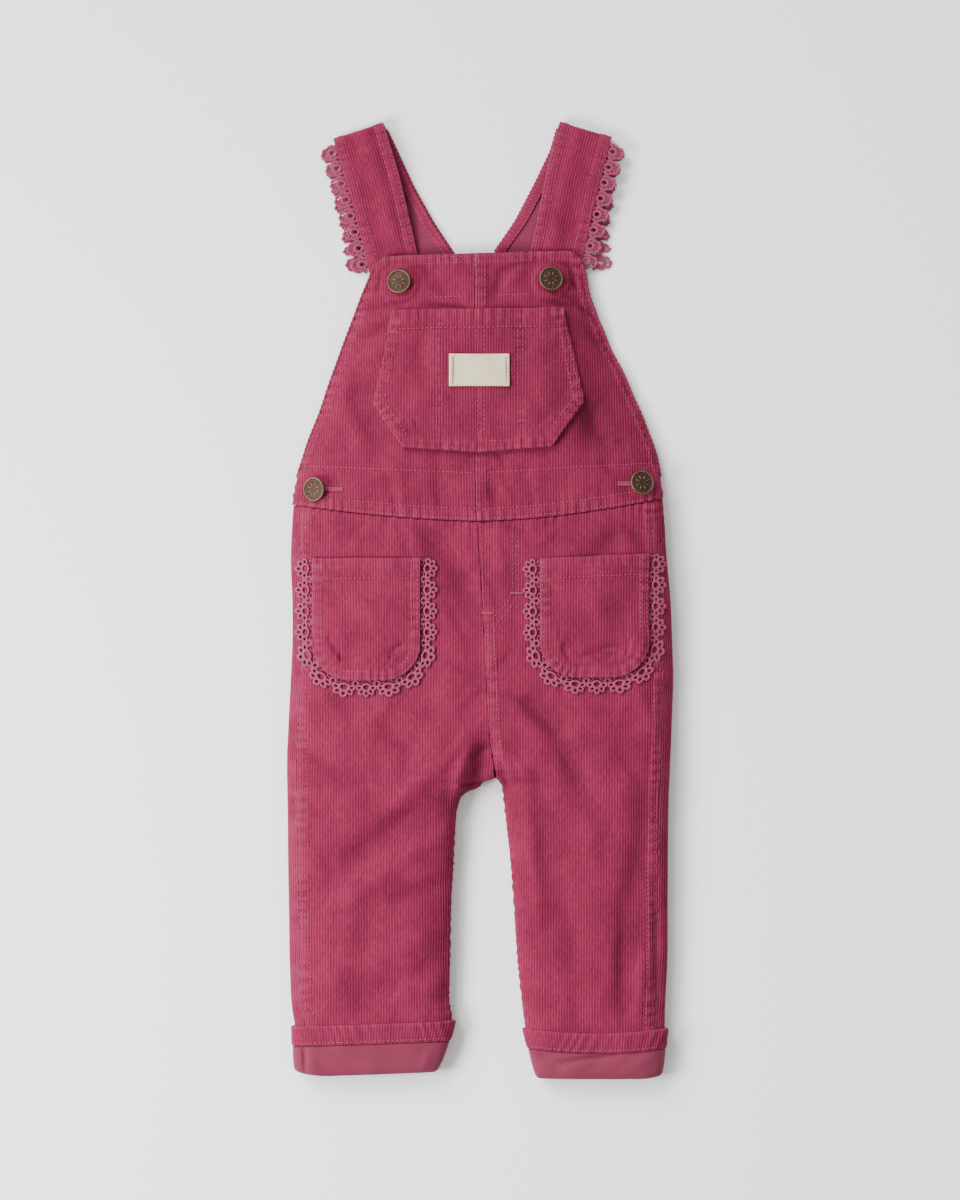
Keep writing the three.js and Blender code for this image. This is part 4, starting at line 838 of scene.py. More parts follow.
def strap_course(strap, spacing=2.0):
    """The strap's two edges, its height, its lean round the fold and the way it folds, row by row."""
    front, back = np.array(strap["front"], float), np.array(strap["back"], float)
    across_way = front[-1, 2:4] - front[-1, 0:2]
    away = np.array([-across_way[1], across_way[0]]) / np.hypot(*across_way)
    away = away if away[1] > 0 else -away
    low, high = STRAP_WALL / 2, front[-1, 4] - STRAP_WALL / 2
    lean = np.arange(1, 13)[:, None] / 12 * math.pi
    in_fold = front[-1:, 0:4] + np.tile(away, 2) * FOLD_RADIUS * np.sin(lean)
    stack = np.vstack([
        np.column_stack([front[:, 0:4], front[:, 4] - STRAP_WALL / 2, np.zeros(len(front))]),
        np.column_stack([in_fold, (high + low) / 2 + (high - low) / 2 * np.cos(lean), lean]),
        np.column_stack([back, np.full(len(back), low), np.full(len(back), math.pi)]),
    ])
    middle_line = (stack[:, :2] + stack[:, 2:4]) / 2
    length = run_along(np.column_stack([middle_line, stack[:, 4]]))
    at = np.unique(np.r_[np.arange(0, length[-1], spacing), length[4:18], length[-1]])
    fine = np.stack([np.interp(at, length, stack[:, i]) for i in range(6)], 1)
    soften = bell(np.arange(-4, 5), 2)
    for i in range(4):
        padded = np.pad(fine[:, i], 4, mode="reflect", reflect_type="odd")
        smoothed = np.convolve(padded, soften / soften.sum(), "valid")
        straight = (fine[:, 5] < STILL_FLAT) | (fine[:, 5] > math.pi - STILL_FLAT)
        fine[straight, i] = smoothed[straight]
    return fine, at, away


def strap_points(course, away, share, out):
    """Points over the strap, at a share of its width from its outer edge, moved out from its middle."""
    outer, inner, centre, lean = course[:, None, 0:2], course[:, None, 2:4], course[:, 4:5], course[:, 5:6]
    plan = blend_of(outer, inner, share[..., None]) + away * (np.sin(lean) * out)[..., None]
    past_button = smooth((np.linalg.norm(course[:, 0:2] - course[0, 0:2], axis=1)[:, None] - 24) / 10)
    waves = 0.8 * np.sin(share * math.pi) - 0.8 * bell(share - 0.36, 0.14)
    waves = waves + 0.9 * bell(share - 0.64, 0.13) - 0.3 * bell(share - 0.8, 0.06)
    height = centre + np.cos(lean) * out + smooth((math.pi / 2 - lean) / 1.2) * past_button * waves
    return np.concatenate([plan, height[..., None]], -1)


def strap_line(course, away, share, out):
    """A line along the strap for its stitches, and the same line a millimetre further out."""
    return [strap_points(course, away, share, height)[:, 0] for height in (out, out + math.copysign(1, out))]


strap_lines = []
strap_courses = {side_name: strap_course(strap) for side_name, strap in STRAPS.items()}
for side_name, (course, length, away) in strap_courses.items():
    width = np.linalg.norm(course[:, 2:4] - course[:, 0:2], axis=1)[:, None]
    across = np.arange(0, int(width.max() / STEP) + 3) * STEP
    from_inner, kept = trim(across + 0 * width, 0, width)
    share, to_edge = 1 - from_inner / width, np.minimum(from_inner, width - from_inner)
    v, seed, half = length[:, None], 0.8 if side_name == "left" else 1.7, STRAP_WALL / 2
    relief = rib_relief(across)[None, :] + hem_relief(to_edge, 7.4, SEAM_ROWS) + pucker(to_edge, v, 5, seed, 0.45)
    outer = strap_points(course, away, share, half + relief)
    inner = strap_points(course, away, share, half - WALL + 0 * to_edge)
    wear_and_shade = 0.7 * seam_wear_and_shade(to_edge, v, 0.8)
    piece = cloth_piece(f"strap_cloth_{side_name}", outer, inner, across, v, wear_and_shade, kept)
    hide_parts(f"strap_{side_name}")
    sewn_rows = (length > 34) & (course[:, 5] < 1.6)
    for d in SEAM_ROWS:
        for edge_share in (d / width, 1 - d / width):
            line, over = strap_line(course, away, edge_share, half + 0.05)
            strap_lines.append((line[sewn_rows], over[sewn_rows]))

    # The turned edge along the neck, sewn down on the reverse, with the ribs oblique on it.
    neck = course[course[:, 5] > FOLDED_UNDER]
    fine = np.linspace(0, len(neck) - 1, len(neck) * 3)
    neck = np.stack([np.interp(fine, np.arange(len(neck)), neck[:, i]) for i in range(6)], 1)
    neck_width = np.linalg.norm(neck[:, 2:4] - neck[:, 0:2], axis=1)[:, None]
    run = fine[:, None] * 2.0
    facing_across = np.linspace(0, 7.2, 12)[None, :] + 0 * run
    oblique = run * 0.74 + facing_across * 0.68
    edges = 0.5 * smooth((facing_across - 6.4) / 0.8) + 0.35 * smooth((0.9 - facing_across) / 0.9)
    facing_relief = 0.75 * (rib_relief(oblique) + RIB_HEIGHT) - edges
    facing_share = 1 - facing_across / neck_width
    outer = strap_points(neck, away, facing_share, -half - 0.75 - facing_relief)
    inner = strap_points(neck, away, facing_share, -half - 0.1 + 0 * run)
    facing = cloth_piece(f"strap_facing_{side_name}", outer, inner, oblique, run, 0.25)
    for d in (2, 6.2):
        strap_lines.append(strap_line(neck, away, 1 - d / neck_width, -half - 0.95))
    roll = strap_points(neck, away, np.ones_like(neck_width), -0.1 + 0 * neck_width)[:, 0]
    rope_edge(f"strap_neck_roll_{side_name}", [(roll, roll + np.array([0, 0, 1.0]))], 1.3, 3.1, 3.0, 0.5)
sew("sewing_straps", strap_lines)

# Hip pockets. Flat patches with rounded bottoms, hemmed at the top and edge-stitched; their turned-in
# allowance presses through as a soft ridge inside the edge.
LIE = 0.5
POCKET_WALL = 1.5
HIP_POCKETS = {
    "left": {"left": -113, "right": -40, "top": 28, "bottom": -54.5, "tilt": 0},
    "right": {"left": 40.5, "right": 114, "top": 27.6, "bottom": -52.5, "tilt": 3.4},
}
HIP_POCKET_ROUND, HIP_POCKET_HEM, POCKET_EASE = 25, 13.6, 1.2
HIP_POCKET_ROWS, BIB_POCKET_ROWS = (1.8, 6), (2, 6.4)
SINKS_IN = 0.6  # how far a patch follows the even surface under the ribs, and not each of them
POCKET_CREASES = [
    (-104, -32, -98, -40, 3, 1.1), (-96, -30, -84, -40, 4.4, -0.7), (-60, -36, -50, -30, 3, -1.02),
    (-106, 6, -94, 2, 3.8, -0.85), (-70, 4, -58, -6, 5, 0.85), (-92, -10, -84, -24, 6.2, -0.85),
    (-52, -12, -46, -22, 3.8, 0.85), (52, -24, 60, -32, 3.5, 1.36), (58, -26, 66, -36, 3.8, -0.8),
    (62, -36, 72, -34, 3.2, 1.19), (74, -36, 96, -32, 3, -1.1), (44, 8, 56, 2, 3.8, -0.85),
    (84, 6, 100, 0, 5, 0.85), (70, -6, 78, -22, 6.2, -0.85), (100, -14, 108, -28, 3.8, 0.94),
    (-42, 172, -38, 148, 6.2, -1.1), (-56, 118, -48, 113.6, 2.4, -1.1), (-48, 113.6, -31, 112, 2.4, -1.02),
    (-50, 125, -55, 118, 3, 0.94), (50, 177, 36, 166, 5, 0.94), (52, 170, 44, 160, 5, -0.94),
    (-12, 132, -14, 112, 6.2, 0.77), (10, 128, 14, 110, 5, -0.77), (34, 130, 38, 112, 5, 0.77),
    (-30, 180, -34, 160, 5, 0.68), (18, 178, 14, 168, 3.8, -0.68), (-8, 180, -10, 168, 3.8, 0.68),
    (60, 150, 54, 128, 5, -0.77), (-60, 150, -56, 130, 5, 0.77),
]


def hip_pocket_outline(pocket):
    """The sides and the round bottom, from the top left corner to the top right one."""
    left, right, r = pocket["left"], pocket["right"], HIP_POCKET_ROUND
    low, turns = pocket["bottom"] + r, np.linspace(0, math.pi / 2, 9)
    points = [(left, pocket["top"])] + [(left + r - r * math.cos(t), low - r * math.sin(t)) for t in turns]
    points += [(right - r + r * math.sin(t), low - r * math.cos(t)) for t in turns]
    return np.array(points + [(right, pocket["top"] + pocket["tilt"])])


def edge_distance(outline, x, y):
    """How far a place is from a line with corners, and how far along the line."""
    best, along, run = np.full(np.shape(x), 1e9), np.zeros(np.shape(x)), 0.0
    for (x1, y1), (x2, y2) in zip(outline[:-1], outline[1:]):
        dx, dy = x2 - x1, y2 - y1
        size = math.hypot(dx, dy)
        t = np.clip(((x - x1) * dx + (y - y1) * dy) / size**2, 0, 1)
        d = np.hypot(x - x1 - t * dx, y - y1 - t * dy)
        along = np.where(d < best, run + t * size, along)
        best = np.minimum(best, d)
        run += size
    return best, along


def pressed_through(to_edge, allowance, rise, hollow):
    """The ridge where a turned-in allowance ends under a pocket."""
    return rise * smooth((allowance - to_edge) / 1.5) - hollow * bell(to_edge - allowance - 0.6, 1.5)


pocket_lines = []
for side_name, pocket in HIP_POCKETS.items():
    outline, width = hip_pocket_outline(pocket), pocket["right"] - pocket["left"]
    across = np.arange(0, int(width / STEP) + 1) * STEP
    x = pocket["left"] + across[None, :]
    near = np.maximum(0, HIP_POCKET_ROUND - np.minimum(x - pocket["left"], pocket["right"] - x))
    low = pocket["bottom"] + HIP_POCKET_ROUND - np.sqrt(np.maximum(0, HIP_POCKET_ROUND**2 - near**2))
    high = pocket["top"] + pocket["tilt"] * across[None, :] / across[-1]
    level = np.r_[np.linspace(0, 0.12, 11), np.linspace(0.14, 0.72, 28), np.linspace(0.74, 1, 20)][:, None]
    y = blend_of(low, high, level)
    x = x + 0 * y
    to_edge, around = edge_distance(outline, x, y)
    to_top = high - y
    seed = 0.5 if side_name == "left" else 2.4
    allowance = 13.5 + 1.6 * np.sin(around / 5.3 + seed) + 0.9 * np.sin(around / 2.3)
    pressed = smooth((pocket["bottom"] + 36 - y) / 12) * pressed_through(to_edge, allowance, 0.9, 0.6)
    soft_waves = 0.45 * np.sin((x + 0.5 * y) / 6.3 + seed) * np.sin((y - 0.3 * x) / 9.7 + 2 * seed)
    soft_waves = soft_waves + creased(x, y, POCKET_CREASES)
    relief = rib_relief(across)[None, :] + hem_relief(to_edge, 6.4, HIP_POCKET_ROWS)
    relief = relief + pucker(to_edge, around, 7, seed, 0.55) + pressed + soft_waves * smooth(to_edge / 6)
    relief = relief + 0.5 * smooth((14.5 - to_top) / 1.6) - 0.4 * bell(to_top, 0.9)
    relief = relief - 0.45 * bell(to_top - HIP_POCKET_HEM, 1.1)
    # Painted shade: the hollows of the pocket's soft waves and creases are painted darker.
    wear_and_shade = seam_wear_and_shade(to_edge, around, seed) + seam_wear_and_shade(to_top, x, seed) * 0.7 + 0.3 * np.minimum(0, soft_waves)
    base = LIE + POCKET_EASE * np.sin(across[None, :] / across[-1] * math.pi) * smooth(level)
    outer, inner = (on_front(x, y, out, SINKS_IN) for out in (base + POCKET_WALL + relief, base))
    piece = cloth_piece(f"hip_pocket_cloth_{side_name}", outer, inner, across, y, wear_and_shade)
    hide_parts(f"hip_pocket_{side_name}")
    for d in HIP_POCKET_ROWS:
        inset = []
        for px, py in outline:
            corner_x = min(max(px, pocket["left"] + HIP_POCKET_ROUND), pocket["right"] - HIP_POCKET_ROUND)
            away_x, away_y = px - corner_x, py - max(py, pocket["bottom"] + HIP_POCKET_ROUND)
            size = math.hypot(away_x, away_y)
            inset.append((px - away_x / size * d, py - away_y / size * d))
        inset[0], inset[-1] = (inset[0][0], inset[0][1] - 1), (inset[-1][0], inset[-1][1] - 1)
        pocket_lines.append(front_line(*along_line(inset), LIE + POCKET_WALL + 0.5))
    hem_x = np.arange(pocket["left"] + 3.0, pocket["right"] - 2, 2)
    hem_share = (hem_x - pocket["left"]) / width
    hem_ease = POCKET_EASE * np.sin(hem_share * math.pi) * 0.9
    hem_y = pocket["top"] - HIP_POCKET_HEM + pocket["tilt"] * hem_share
    pocket_lines.append(front_line(hem_x, hem_y, LIE + POCKET_WALL + 0.05 + hem_ease))
sew("sewing_hip_pockets", pocket_lines)

# Bib pocket. A six-sided patch, divided by rows of double stitching, hemmed along its top.
BIB_POCKET = np.array([
    (-58.8, 195.4), (-71.5, 133), (-52, 102.6), (-0.5, 99.4), (48.6, 103.4), (70, 135), (56, 197.2),
])
BIB_POCKET_LIE, BIB_POCKET_HEM, TOP_TILT = 0.7 + LIE, 12.6, 0.0157
DIVISIONS = [(-29, -25.4), (-1.6, 3.2), (25.4, 28.6)]  # the two rows of stitches at each
across = np.arange(0, int(141.5 / STEP) + 1) * STEP
x = BIB_POCKET[1, 0] + across[None, :]
low = np.interp(x, BIB_POCKET[1:6, 0], [132.8, *BIB_POCKET[2:5, 1], 134.8])
high = np.interp(x, BIB_POCKET[[1, 0, 6, 5], 0], [133.4, BIB_POCKET[0, 1], BIB_POCKET[6, 1], 135.4])
level = np.r_[np.linspace(0, 0.1, 10), np.linspace(0.12, 0.8, 35), np.linspace(0.82, 1, 17)][:, None]
y = blend_of(low, high, level)
x = x + 0 * y
to_edge, around = edge_distance(BIB_POCKET, x, y)
pocket_top = lambda x: BIB_POCKET[0, 1] + (x - BIB_POCKET[0, 0]) * TOP_TILT
to_top = pocket_top(x) - y
relief = rib_relief(across)[None, :] + hem_relief(to_edge, 7, BIB_POCKET_ROWS) + pucker(to_edge, around, 7, 3.1, 0.55)
relief = relief + 0.55 * smooth((13.6 - to_top) / 1.6) - 0.5 * bell(to_top - BIB_POCKET_HEM, 1.1)
relief = relief + pucker(to_top, x, 12, 0.6, 0.6)
allowance = 14.5 + 1.4 * np.sin(around / 6.1) + 0.8 * np.sin(around / 2.7)
relief = relief + smooth((130 - y) / 12) * pressed_through(to_edge, allowance, 0.75, 0.4)
soft_waves = 0.4 * np.sin((x + 0.4 * y) / 7.1) * np.sin((y - 0.3 * x) / 10.3 + 1) + creased(x, y, POCKET_CREASES)
relief = relief + soft_waves * smooth(to_edge / 6)
# Painted shade: the hollows of the pocket's soft waves and creases are painted darker.
wear_and_shade = seam_wear_and_shade(to_edge, around, 3.1) + seam_wear_and_shade(to_top, x, 0.6) * 0.7 + 0.3 * np.minimum(0, soft_waves) - 0.2
for a, b in DIVISIONS:
    to_middle = x - (a + b) / 2
    relief = relief - 0.4 * (bell(x - a, 0.8) + bell(x - b, 0.8)) + pucker(np.abs(to_middle), y, 6, a, 0.45)
    # The stitched divisions rubbed pale, their pucker tops paler still as painted highlight and their hollows darker
    # as painted shade.
    wear_and_shade = wear_and_shade + bell(to_middle, 2.6) * (0.25 + pucker(0 * y, y, 6, a, 0.46))
top_of_pocket = BIB_POCKET_LIE + POCKET_WALL
outer, inner = (on_front(x, y, out, SINKS_IN) for out in (top_of_pocket + relief, BIB_POCKET_LIE))
piece = cloth_piece("bib_pocket_cloth", outer, inner, across, y, wear_and_shade)
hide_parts("bib_pocket")
lines = []
inward = np.array([0, 148]) - BIB_POCKET
for d in BIB_POCKET_ROWS:
    inset = BIB_POCKET + inward / np.linalg.norm(inward, axis=1)[:, None] * d * 1.12
    inset[0, 1], inset[-1, 1] = 194.4, 196
    lines.append(front_line(*along_line(inset), top_of_pocket + 0.35))
for row_x in np.ravel(DIVISIONS):
    row_y = np.arange(100.5 + abs(row_x) * 0.08, 183, 2)
    lines.append(front_line(np.full(len(row_y), row_x), row_y, top_of_pocket + 0.05))
hem_x = np.arange(-58.0, 56, 2)
lines.append(front_line(hem_x, pocket_top(hem_x) - BIB_POCKET_HEM, top_of_pocket + 0.15))
sew("sewing_bib_pocket", lines)

# The tape label: cream twill-woven polyester, bare, folded under and stitched at both ends.
LABEL_LEFT, LABEL_RIGHT, LABEL_LOW, LABEL_HIGH = -21, 19.8, 143.8, 165.6
x = np.linspace(LABEL_LEFT, LABEL_RIGHT, 42)[None, :]
y = np.linspace(LABEL_LOW, LABEL_HIGH, 19)[:, None] + 0 * x
x = x + 0 * y
end_fold = smooth((3.4 - np.minimum(x - LABEL_LEFT, LABEL_RIGHT - x)) / 1.2)
buckle = 0.4 * np.sin((x - LABEL_LEFT) / (LABEL_RIGHT - LABEL_LEFT) * math.pi) * (1 + 0.5 * np.sin(y / 3.1))
buckle = buckle + 0.25 * np.sin(x / 5.3 + y / 4)
outer, inner = (on_front(x, y, top_of_pocket + out, 0.8) for out in (0.65 + 0.3 * end_fold + buckle, 0.3))
tape, tree, shader = start_material("woven_polyester_tape")
place = add_node(tree, "TexCoord").outputs["Object"]
weft = {"Vector": place, "Scale": 520.0, "Distortion": 0.8}
weft = add_node(tree, "TexWave", weft, bands_direction="DIAGONAL").outputs[1]
soil = add_node(tree, "TexNoise", {"Vector": place, "Scale": 160.0, "Detail": 4.0})
weave = add_node(tree, "Math", {0: weft, 1: soil}, operation="MULTIPLY")
tape_colour = add_node(tree, "MixRGB", {"Fac": weave, "Color1": linear("#c6b796"), "Color2": linear("#e6dabd")})
weave_bump = add_node(tree, "Bump", {"Height": weave, "Strength": 0.4, "Distance": 0.0002})
set_inputs(shader, {"Base Color": tape_colour, "Normal": weave_bump, "Roughness": 0.75})
label = cloth_piece("tape_label", outer, inner, x, y, 0, skins=(tape, tape))
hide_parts("label")
label_y = np.arange(LABEL_LOW + 0.8, LABEL_HIGH - 0.6, 1.6)
label_ends = [np.full(len(label_y), x) for x in (LABEL_LEFT + 2.4, LABEL_RIGHT - 2.4)]
sew("sewing_label", [front_line(x, label_y, top_of_pocket + 1.2) for x in label_ends], 2.4)

# Cuffs. The end of each leg is turned up once over itself with its plain reverse outside, and its hem, which
# shows the ribs again, lies round the leg as a thicker band.

def cuff_grid(side, heights, outs, spacing):
    """Rings round a leg's end, with the ribs upright on its front: points, lengths round it, heights, count."""
    ends, straight = place_on_ring(side, "end", heights), crown(side, heights)
    count = int(ends.mean() / spacing / RIB_COLUMNS) * RIB_COLUMNS
    share = np.arange(count)[None, :] / count
    middle = straight.mean() / ends.mean()
    held = smooth((share - 0.3) / 0.15) * smooth((1 - share) / 0.1)
    arc = share * ends[:, None] + held * (straight - middle * ends)[:, None]
    y = heights[:, None] + 0 * share
    return on_body(side, y, arc, outs[:, None] + 0 * y), arc, y, count


CUFF_CREASES = {
    -1: [
        (-119, -303, -118.4, -319, 1.3, -2.4), (-114, -306, -112, -318, 4, 0.8),
        (-100, -309, -52, -314, 4, -0.6), (-34, -306, -40, -320, 3, 0.7),
    ],
    1: [
        (38, -306, 50, -313.5, 2, -1.9), (52, -314, 92, -308, 2.2, -1.8),
        (92, -308, 120, -306, 3, -0.7), (60, -318, 110, -318, 4, 0.5),
    ],
}
# The turned cuff's outside and inside, and the hem band's outside: heights, and how far each is out.
CUFF_OUTSIDE = np.array([
    (-304.15, 1.9), (-306, 1.95), (-309, 2.05), (-313, 2.1), (-317, 2.05), (-320.5, 1.9), (-322.6, 1.5),
    (-324, 0.8), (-324.6, -0.1), (-324.6, -0.9), (-324.2, -1.5),
])
CUFF_INSIDE = np.array([
    (-304.15, 0.3), (-306, 0.3), (-309, 0.3), (-313, 0.3), (-317, 0.3), (-319.5, 0.3), (-320.6, 0.3),
    (-321.2, 0.1), (-321.6, -0.4), (-321.7, -0.9), (-321.8, -1.4),
])
BAND_OUTSIDE = np.array([
    (-290, 1.2), (-290.2, 2.2), (-290.8, 2.6), (-292, 2.75), (-294, 2.7), (-296, 2.65), (-298, 2.7),
    (-300, 2.75), (-301.4, 2.75), (-302.6, 2.6), (-303.4, 2.2), (-303.85, 1.2),
])
BAND_STITCHES_Y = -301.6
closer = np.r_[np.linspace(0, 5, 16), np.arange(6, 11)]
cuff_lines = []
for side, side_name in SIDE_NAMES.items():
    (outer, around, y, count), (inner, *_) = (
        cuff_grid(side, *(np.interp(closer, np.arange(11), column) for column in table.T), 1.2)
        for table in (CUFF_OUTSIDE, CUFF_INSIDE)
    )
    creases = creased(outer[..., 0], outer[..., 1], CUFF_CREASES[side])
    wave = 0.3 * np.sin(around / 7.3) + 0.16 * np.sin(around / 3.1 + y / 4) + creases
    outer[..., 2] += wave * smooth((outer[..., 2] - 6) / 6)
    inner, skins = inner[:, :count], (reverse, reverse)
    piece = cloth_piece(f"turned_cuff_{side_name}", outer, inner, around, y, 0, all_round=True, skins=skins)
    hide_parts(f"cuff_{side_name}")
    heights, outs = BAND_OUTSIDE.T
    outer, around, y, count = cuff_grid(side, heights, outs, STEP)
    on_top = smooth((outer[..., 2] - 7) / 5)
    rib_across = np.arange(count)[None, :] * STEP
    rib = np.tile(RIB_PROFILE, count // RIB_COLUMNS)[None, :] * RIB_HEIGHT - RIB_HEIGHT
    sewn = pucker(0 * y, around, 8, 1.4 * side, 0.25) - 0.4 * bell(y - BAND_STITCHES_Y, 0.8)
    outer = on_body(side, y, around, outs[:, None] + rib * (0.5 + 0.5 * on_top) + on_top * sewn)
    inner = on_body(side, y, around, 0.3 + 0 * y)
    edges = seam_wear_and_shade(CUFF_TOP - y, around, 1.4 * side) + seam_wear_and_shade(y - CUFF_HEM, around, 1.4 * side)
    wear_and_shade = 0.45 * on_top * edges
    piece = cloth_piece(f"cuff_hem_band_{side_name}", outer, inner, rib_across, y, wear_and_shade, all_round=True)
    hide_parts(f"cuff_hem_{side_name}")
    wide, end = place_on_ring(side, "wide", -302), place_on_ring(side, "end", -302)
    around = np.arange(wide + 3, end - 3, 2)
    cuff_lines.append(body_line(side, np.full(len(around), BAND_STITCHES_Y), around, 2.32))
sew("sewing_cuffs", cuff_lines)

# Lace. Cotton guipure: ovals of cord, each with a fan of five small loops, and a knot between them, sewn on
# behind the pockets' edges and along the straps' outer edges.
cotton_lace, tree, shader = start_material("cotton_guipure_lace")
place = add_node(tree, "TexCoord").outputs["Object"]
twist = add_node(tree, "TexNoise", {"Vector": place, "Scale": 1500.0, "Detail": 3.0})
lace_colour = add_node(tree, "MixRGB", {"Fac": twist, "Color1": linear("#77203f"), "Color2": linear("#9c4061")})
lace_bump = add_node(tree, "Bump", {"Height": twist, "Strength": 0.5, "Distance": 0.0003})
set_inputs(shader, {"Base Color": lace_colour, "Normal": lace_bump, "Roughness": 0.85})
set_inputs(shader, {"Sheen Weight": 0.15, "Specular IOR Level": 0.2})


def lace_motif(ring_width, ring_height, ring_cord, fan_cord, fan_width=1.45, rim_cord=0):
    """One repeat, lying flat: X along the edge and Y away from it, with its middle on the edge."""
    shapes = []

    def cord_loop(x, y, half_x, half_y, cord, turn, steps, sides):
        ring = {"major_segments": steps, "minor_segments": sides, "major_radius": 1, "minor_radius": cord / half_x}
        bpy.ops.mesh.primitive_torus_add(**ring)
        reshape((half_x, half_y, half_x * 0.85), -turn, "Z", (x, y, 0))
        shapes.append(taken_mesh())

    ring_y = ring_height + 3.1
    cord_loop(0, ring_y, ring_width, ring_height, ring_cord, 0, 16, 5)
    for turn in (-1.5, -0.78, 0, 0.78, 1.5):
        reach_x, reach_y = (ring_width + 1.5) * math.sin(turn), (ring_height + 1.9) * math.cos(turn)
        cord_loop(reach_x, ring_y + reach_y, fan_width, 1.95, fan_cord, -turn, 9, 4)
    if rim_cord:
        cord_loop(0, 0, ring_width + 2.1, ring_height + 2.5, rim_cord, 0, 32, 5)
        rim, rim_faces = shapes.pop()
        scallops = 1 + 0.17 * np.abs(np.cos(4 * np.arctan2(rim[:, 1], rim[:, 0])))[:, None]
        shapes.append((rim * np.hstack([scallops, scallops, scallops ** 0]) + (0, ring_y + 0.8, 0), rim_faces))
    cord_loop(7, 2.9, 1.7, 2.0, fan_cord, 0, 8, 4)
    cord_loop(3.7, 1.5, 1.8, 1.0, 0.5, 0.35, 8, 4)
    cord_loop(-3.7, 1.5, 1.8, 1.0, 0.5, -0.35, 8, 4)
    points = np.concatenate([p for p, _ in shapes])
    faces, start = [], 0
    for p, f in shapes:
        faces += [tuple(v + start for v in face) for face in f]
        start += len(p)
    return points, faces


MOTIF_LENGTH = 14


def lace_strip(name, node, motif, path, away, pitch, size, over):
    """Motifs set along a path on the plan. over puts a place and a height on what the lace lies on."""
    points, faces = motif
    lengths = run_along(path)
    count = max(1, round(lengths[-1] / pitch))
    stretch = lengths[-1] / count / MOTIF_LENGTH
    verts, polys = [], []
    for k in range(count):
        along = (k + 0.5) * lengths[-1] / count + points[:, 0] * stretch
        at = np.clip(along, 0, lengths[-1])
        px, py = np.interp(at, lengths, path[:, 0]), np.interp(at, lengths, path[:, 1])
        ax, ay = np.interp(at, lengths, away[:, 0]), np.interp(at, lengths, away[:, 1])
        reach = points[:, 1] * size / np.hypot(ax, ay)
        polys += [[v + len(verts) * len(points) for v in f] for f in faces]
        verts.append(over(px + ax * reach, py + ay * reach, points[:, 2] * 0.8 + 0.45, at / lengths[-1]))
    piece = add_piece(name, np.concatenate(verts), polys, cotton_lace)
    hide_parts(node)
    return piece


POCKET_LACE_PITCH, STRAP_LACE_PITCH, STRAP_LACE_COVERED = MOTIF_LENGTH, 11.4, 3.2
oval_motif = lace_motif(2.9, 2.25, 0.95, 0.66)
round_motif = lace_motif(2.9, 2.2, 1.25, 0.56, 0.95, 0.82)
for side_name, pocket in HIP_POCKETS.items():
    outline = hip_pocket_outline(pocket)
    path = np.stack(along_line(outline, 1.0), 1)
    corner = np.stack([
        np.clip(path[:, 0], pocket["left"] + HIP_POCKET_ROUND, pocket["right"] - HIP_POCKET_ROUND),
        np.maximum(path[:, 1], pocket["bottom"] + HIP_POCKET_ROUND),
    ], 1)
    away = path - corner
    away /= np.linalg.norm(away, axis=1)[:, None]
    flat_on_front = lambda x, y, h, t: on_front(x, y, LIE + h, 0.5)
    name, node = f"pocket_lace_{side_name}", f"lace_pocket_{side_name}"
    piece = lace_strip(name, node, oval_motif, path - away * 0.6, away, POCKET_LACE_PITCH, 1.0, flat_on_front)
for side_name, (course, length, _) in strap_courses.items():
    in_front, behind = (course[:, 5] < STILL_FLAT) & (length > 24), course[:, 5] > FOLDED_UNDER
    for part, rows in (("front", course[in_front]), ("back", course[behind])):
        path, toward, centre = rows[:, 0:2], rows[:, 0:2] - rows[:, 2:4], rows[:, 4]
        away = toward / np.linalg.norm(toward, axis=1)[:, None]
        drawn_out = STRAP_LACE_COVERED
        if part == "back":
            path, away = np.vstack([path, path[-1] + [1.6, -11]]), np.vstack([away, away[-1]])
            centre = np.r_[centre, centre[-1]]
            drawn_out = drawn_out - 4.5 * smooth((290 - path[:, 1:]) / 25) - 6.5 * smooth((268 - path[:, 1:]) / 34)
        lengths = run_along(path)
        level = lambda x, y, h, t: np.stack([x, y, np.interp(t * lengths[-1], lengths, centre) - 0.4 + h], -1)
        name, node = f"strap_lace_{part}_{side_name}", f"lace_{'strap' if part == 'front' else 'back'}_{side_name}"
        piece = lace_strip(name, node, round_motif, path - away * drawn_out, away, STRAP_LACE_PITCH, 1.2, level)

# Buttons. Die-struck brass caps with a raised rim and a small generic sunburst, dark in the hollows and
# rubbed bright on the high places, each on a short shank through its buttonhole.
def brass(name, dark, light, rough):
    """Aged brass, its tone drifting between two colours."""
    metal, tree, shader = start_material(name)
    place = add_node(tree, "TexCoord").outputs["Object"]
    tarnish = add_node(tree, "TexNoise", {"Vector": place, "Scale": 500.0, "Detail": 4.0})
    tone = add_node(tree, "MixRGB", {"Fac": tarnish, "Color1": linear(dark), "Color2": linear(light)})
    set_inputs(shader, {"Base Color": tone, "Roughness": rough, "Metallic": 0.7})
    return metal


aged_brass = brass("aged_brass_darkened", "#281a13", "#493124", 0.58)
rubbed_brass = brass("aged_brass_rubbed", "#4b3b2f", "#6f5b46", 0.48)
BUTTON_SIZE = 0.95
BUTTONS = {  # centre on the plan, and how far it leans
    "bib_left": (-54.4, 215, 0.0), "bib_right": (47.6, 217, 0.0),
    "side_left": (-111.2, 74.5, 0.28), "side_right": (109, 78.5, 0.1),
}
SHANK_RADIUS = 2.4
CAP_SECTION = [  # from the shank up over the rim to the middle: the next radius, and its rise
    (2.4, 0.8), (8.0, 0.0), (8.6, 0.5), (8.7, 0.7), (8.4, 0.5), (8.0, 0.2), (7.5, -0.1), (7.2, -0.45),
    (6.6, 0.0), (4.6, 0.35), (2.2, 0.25), (0.8, 0.05),
]
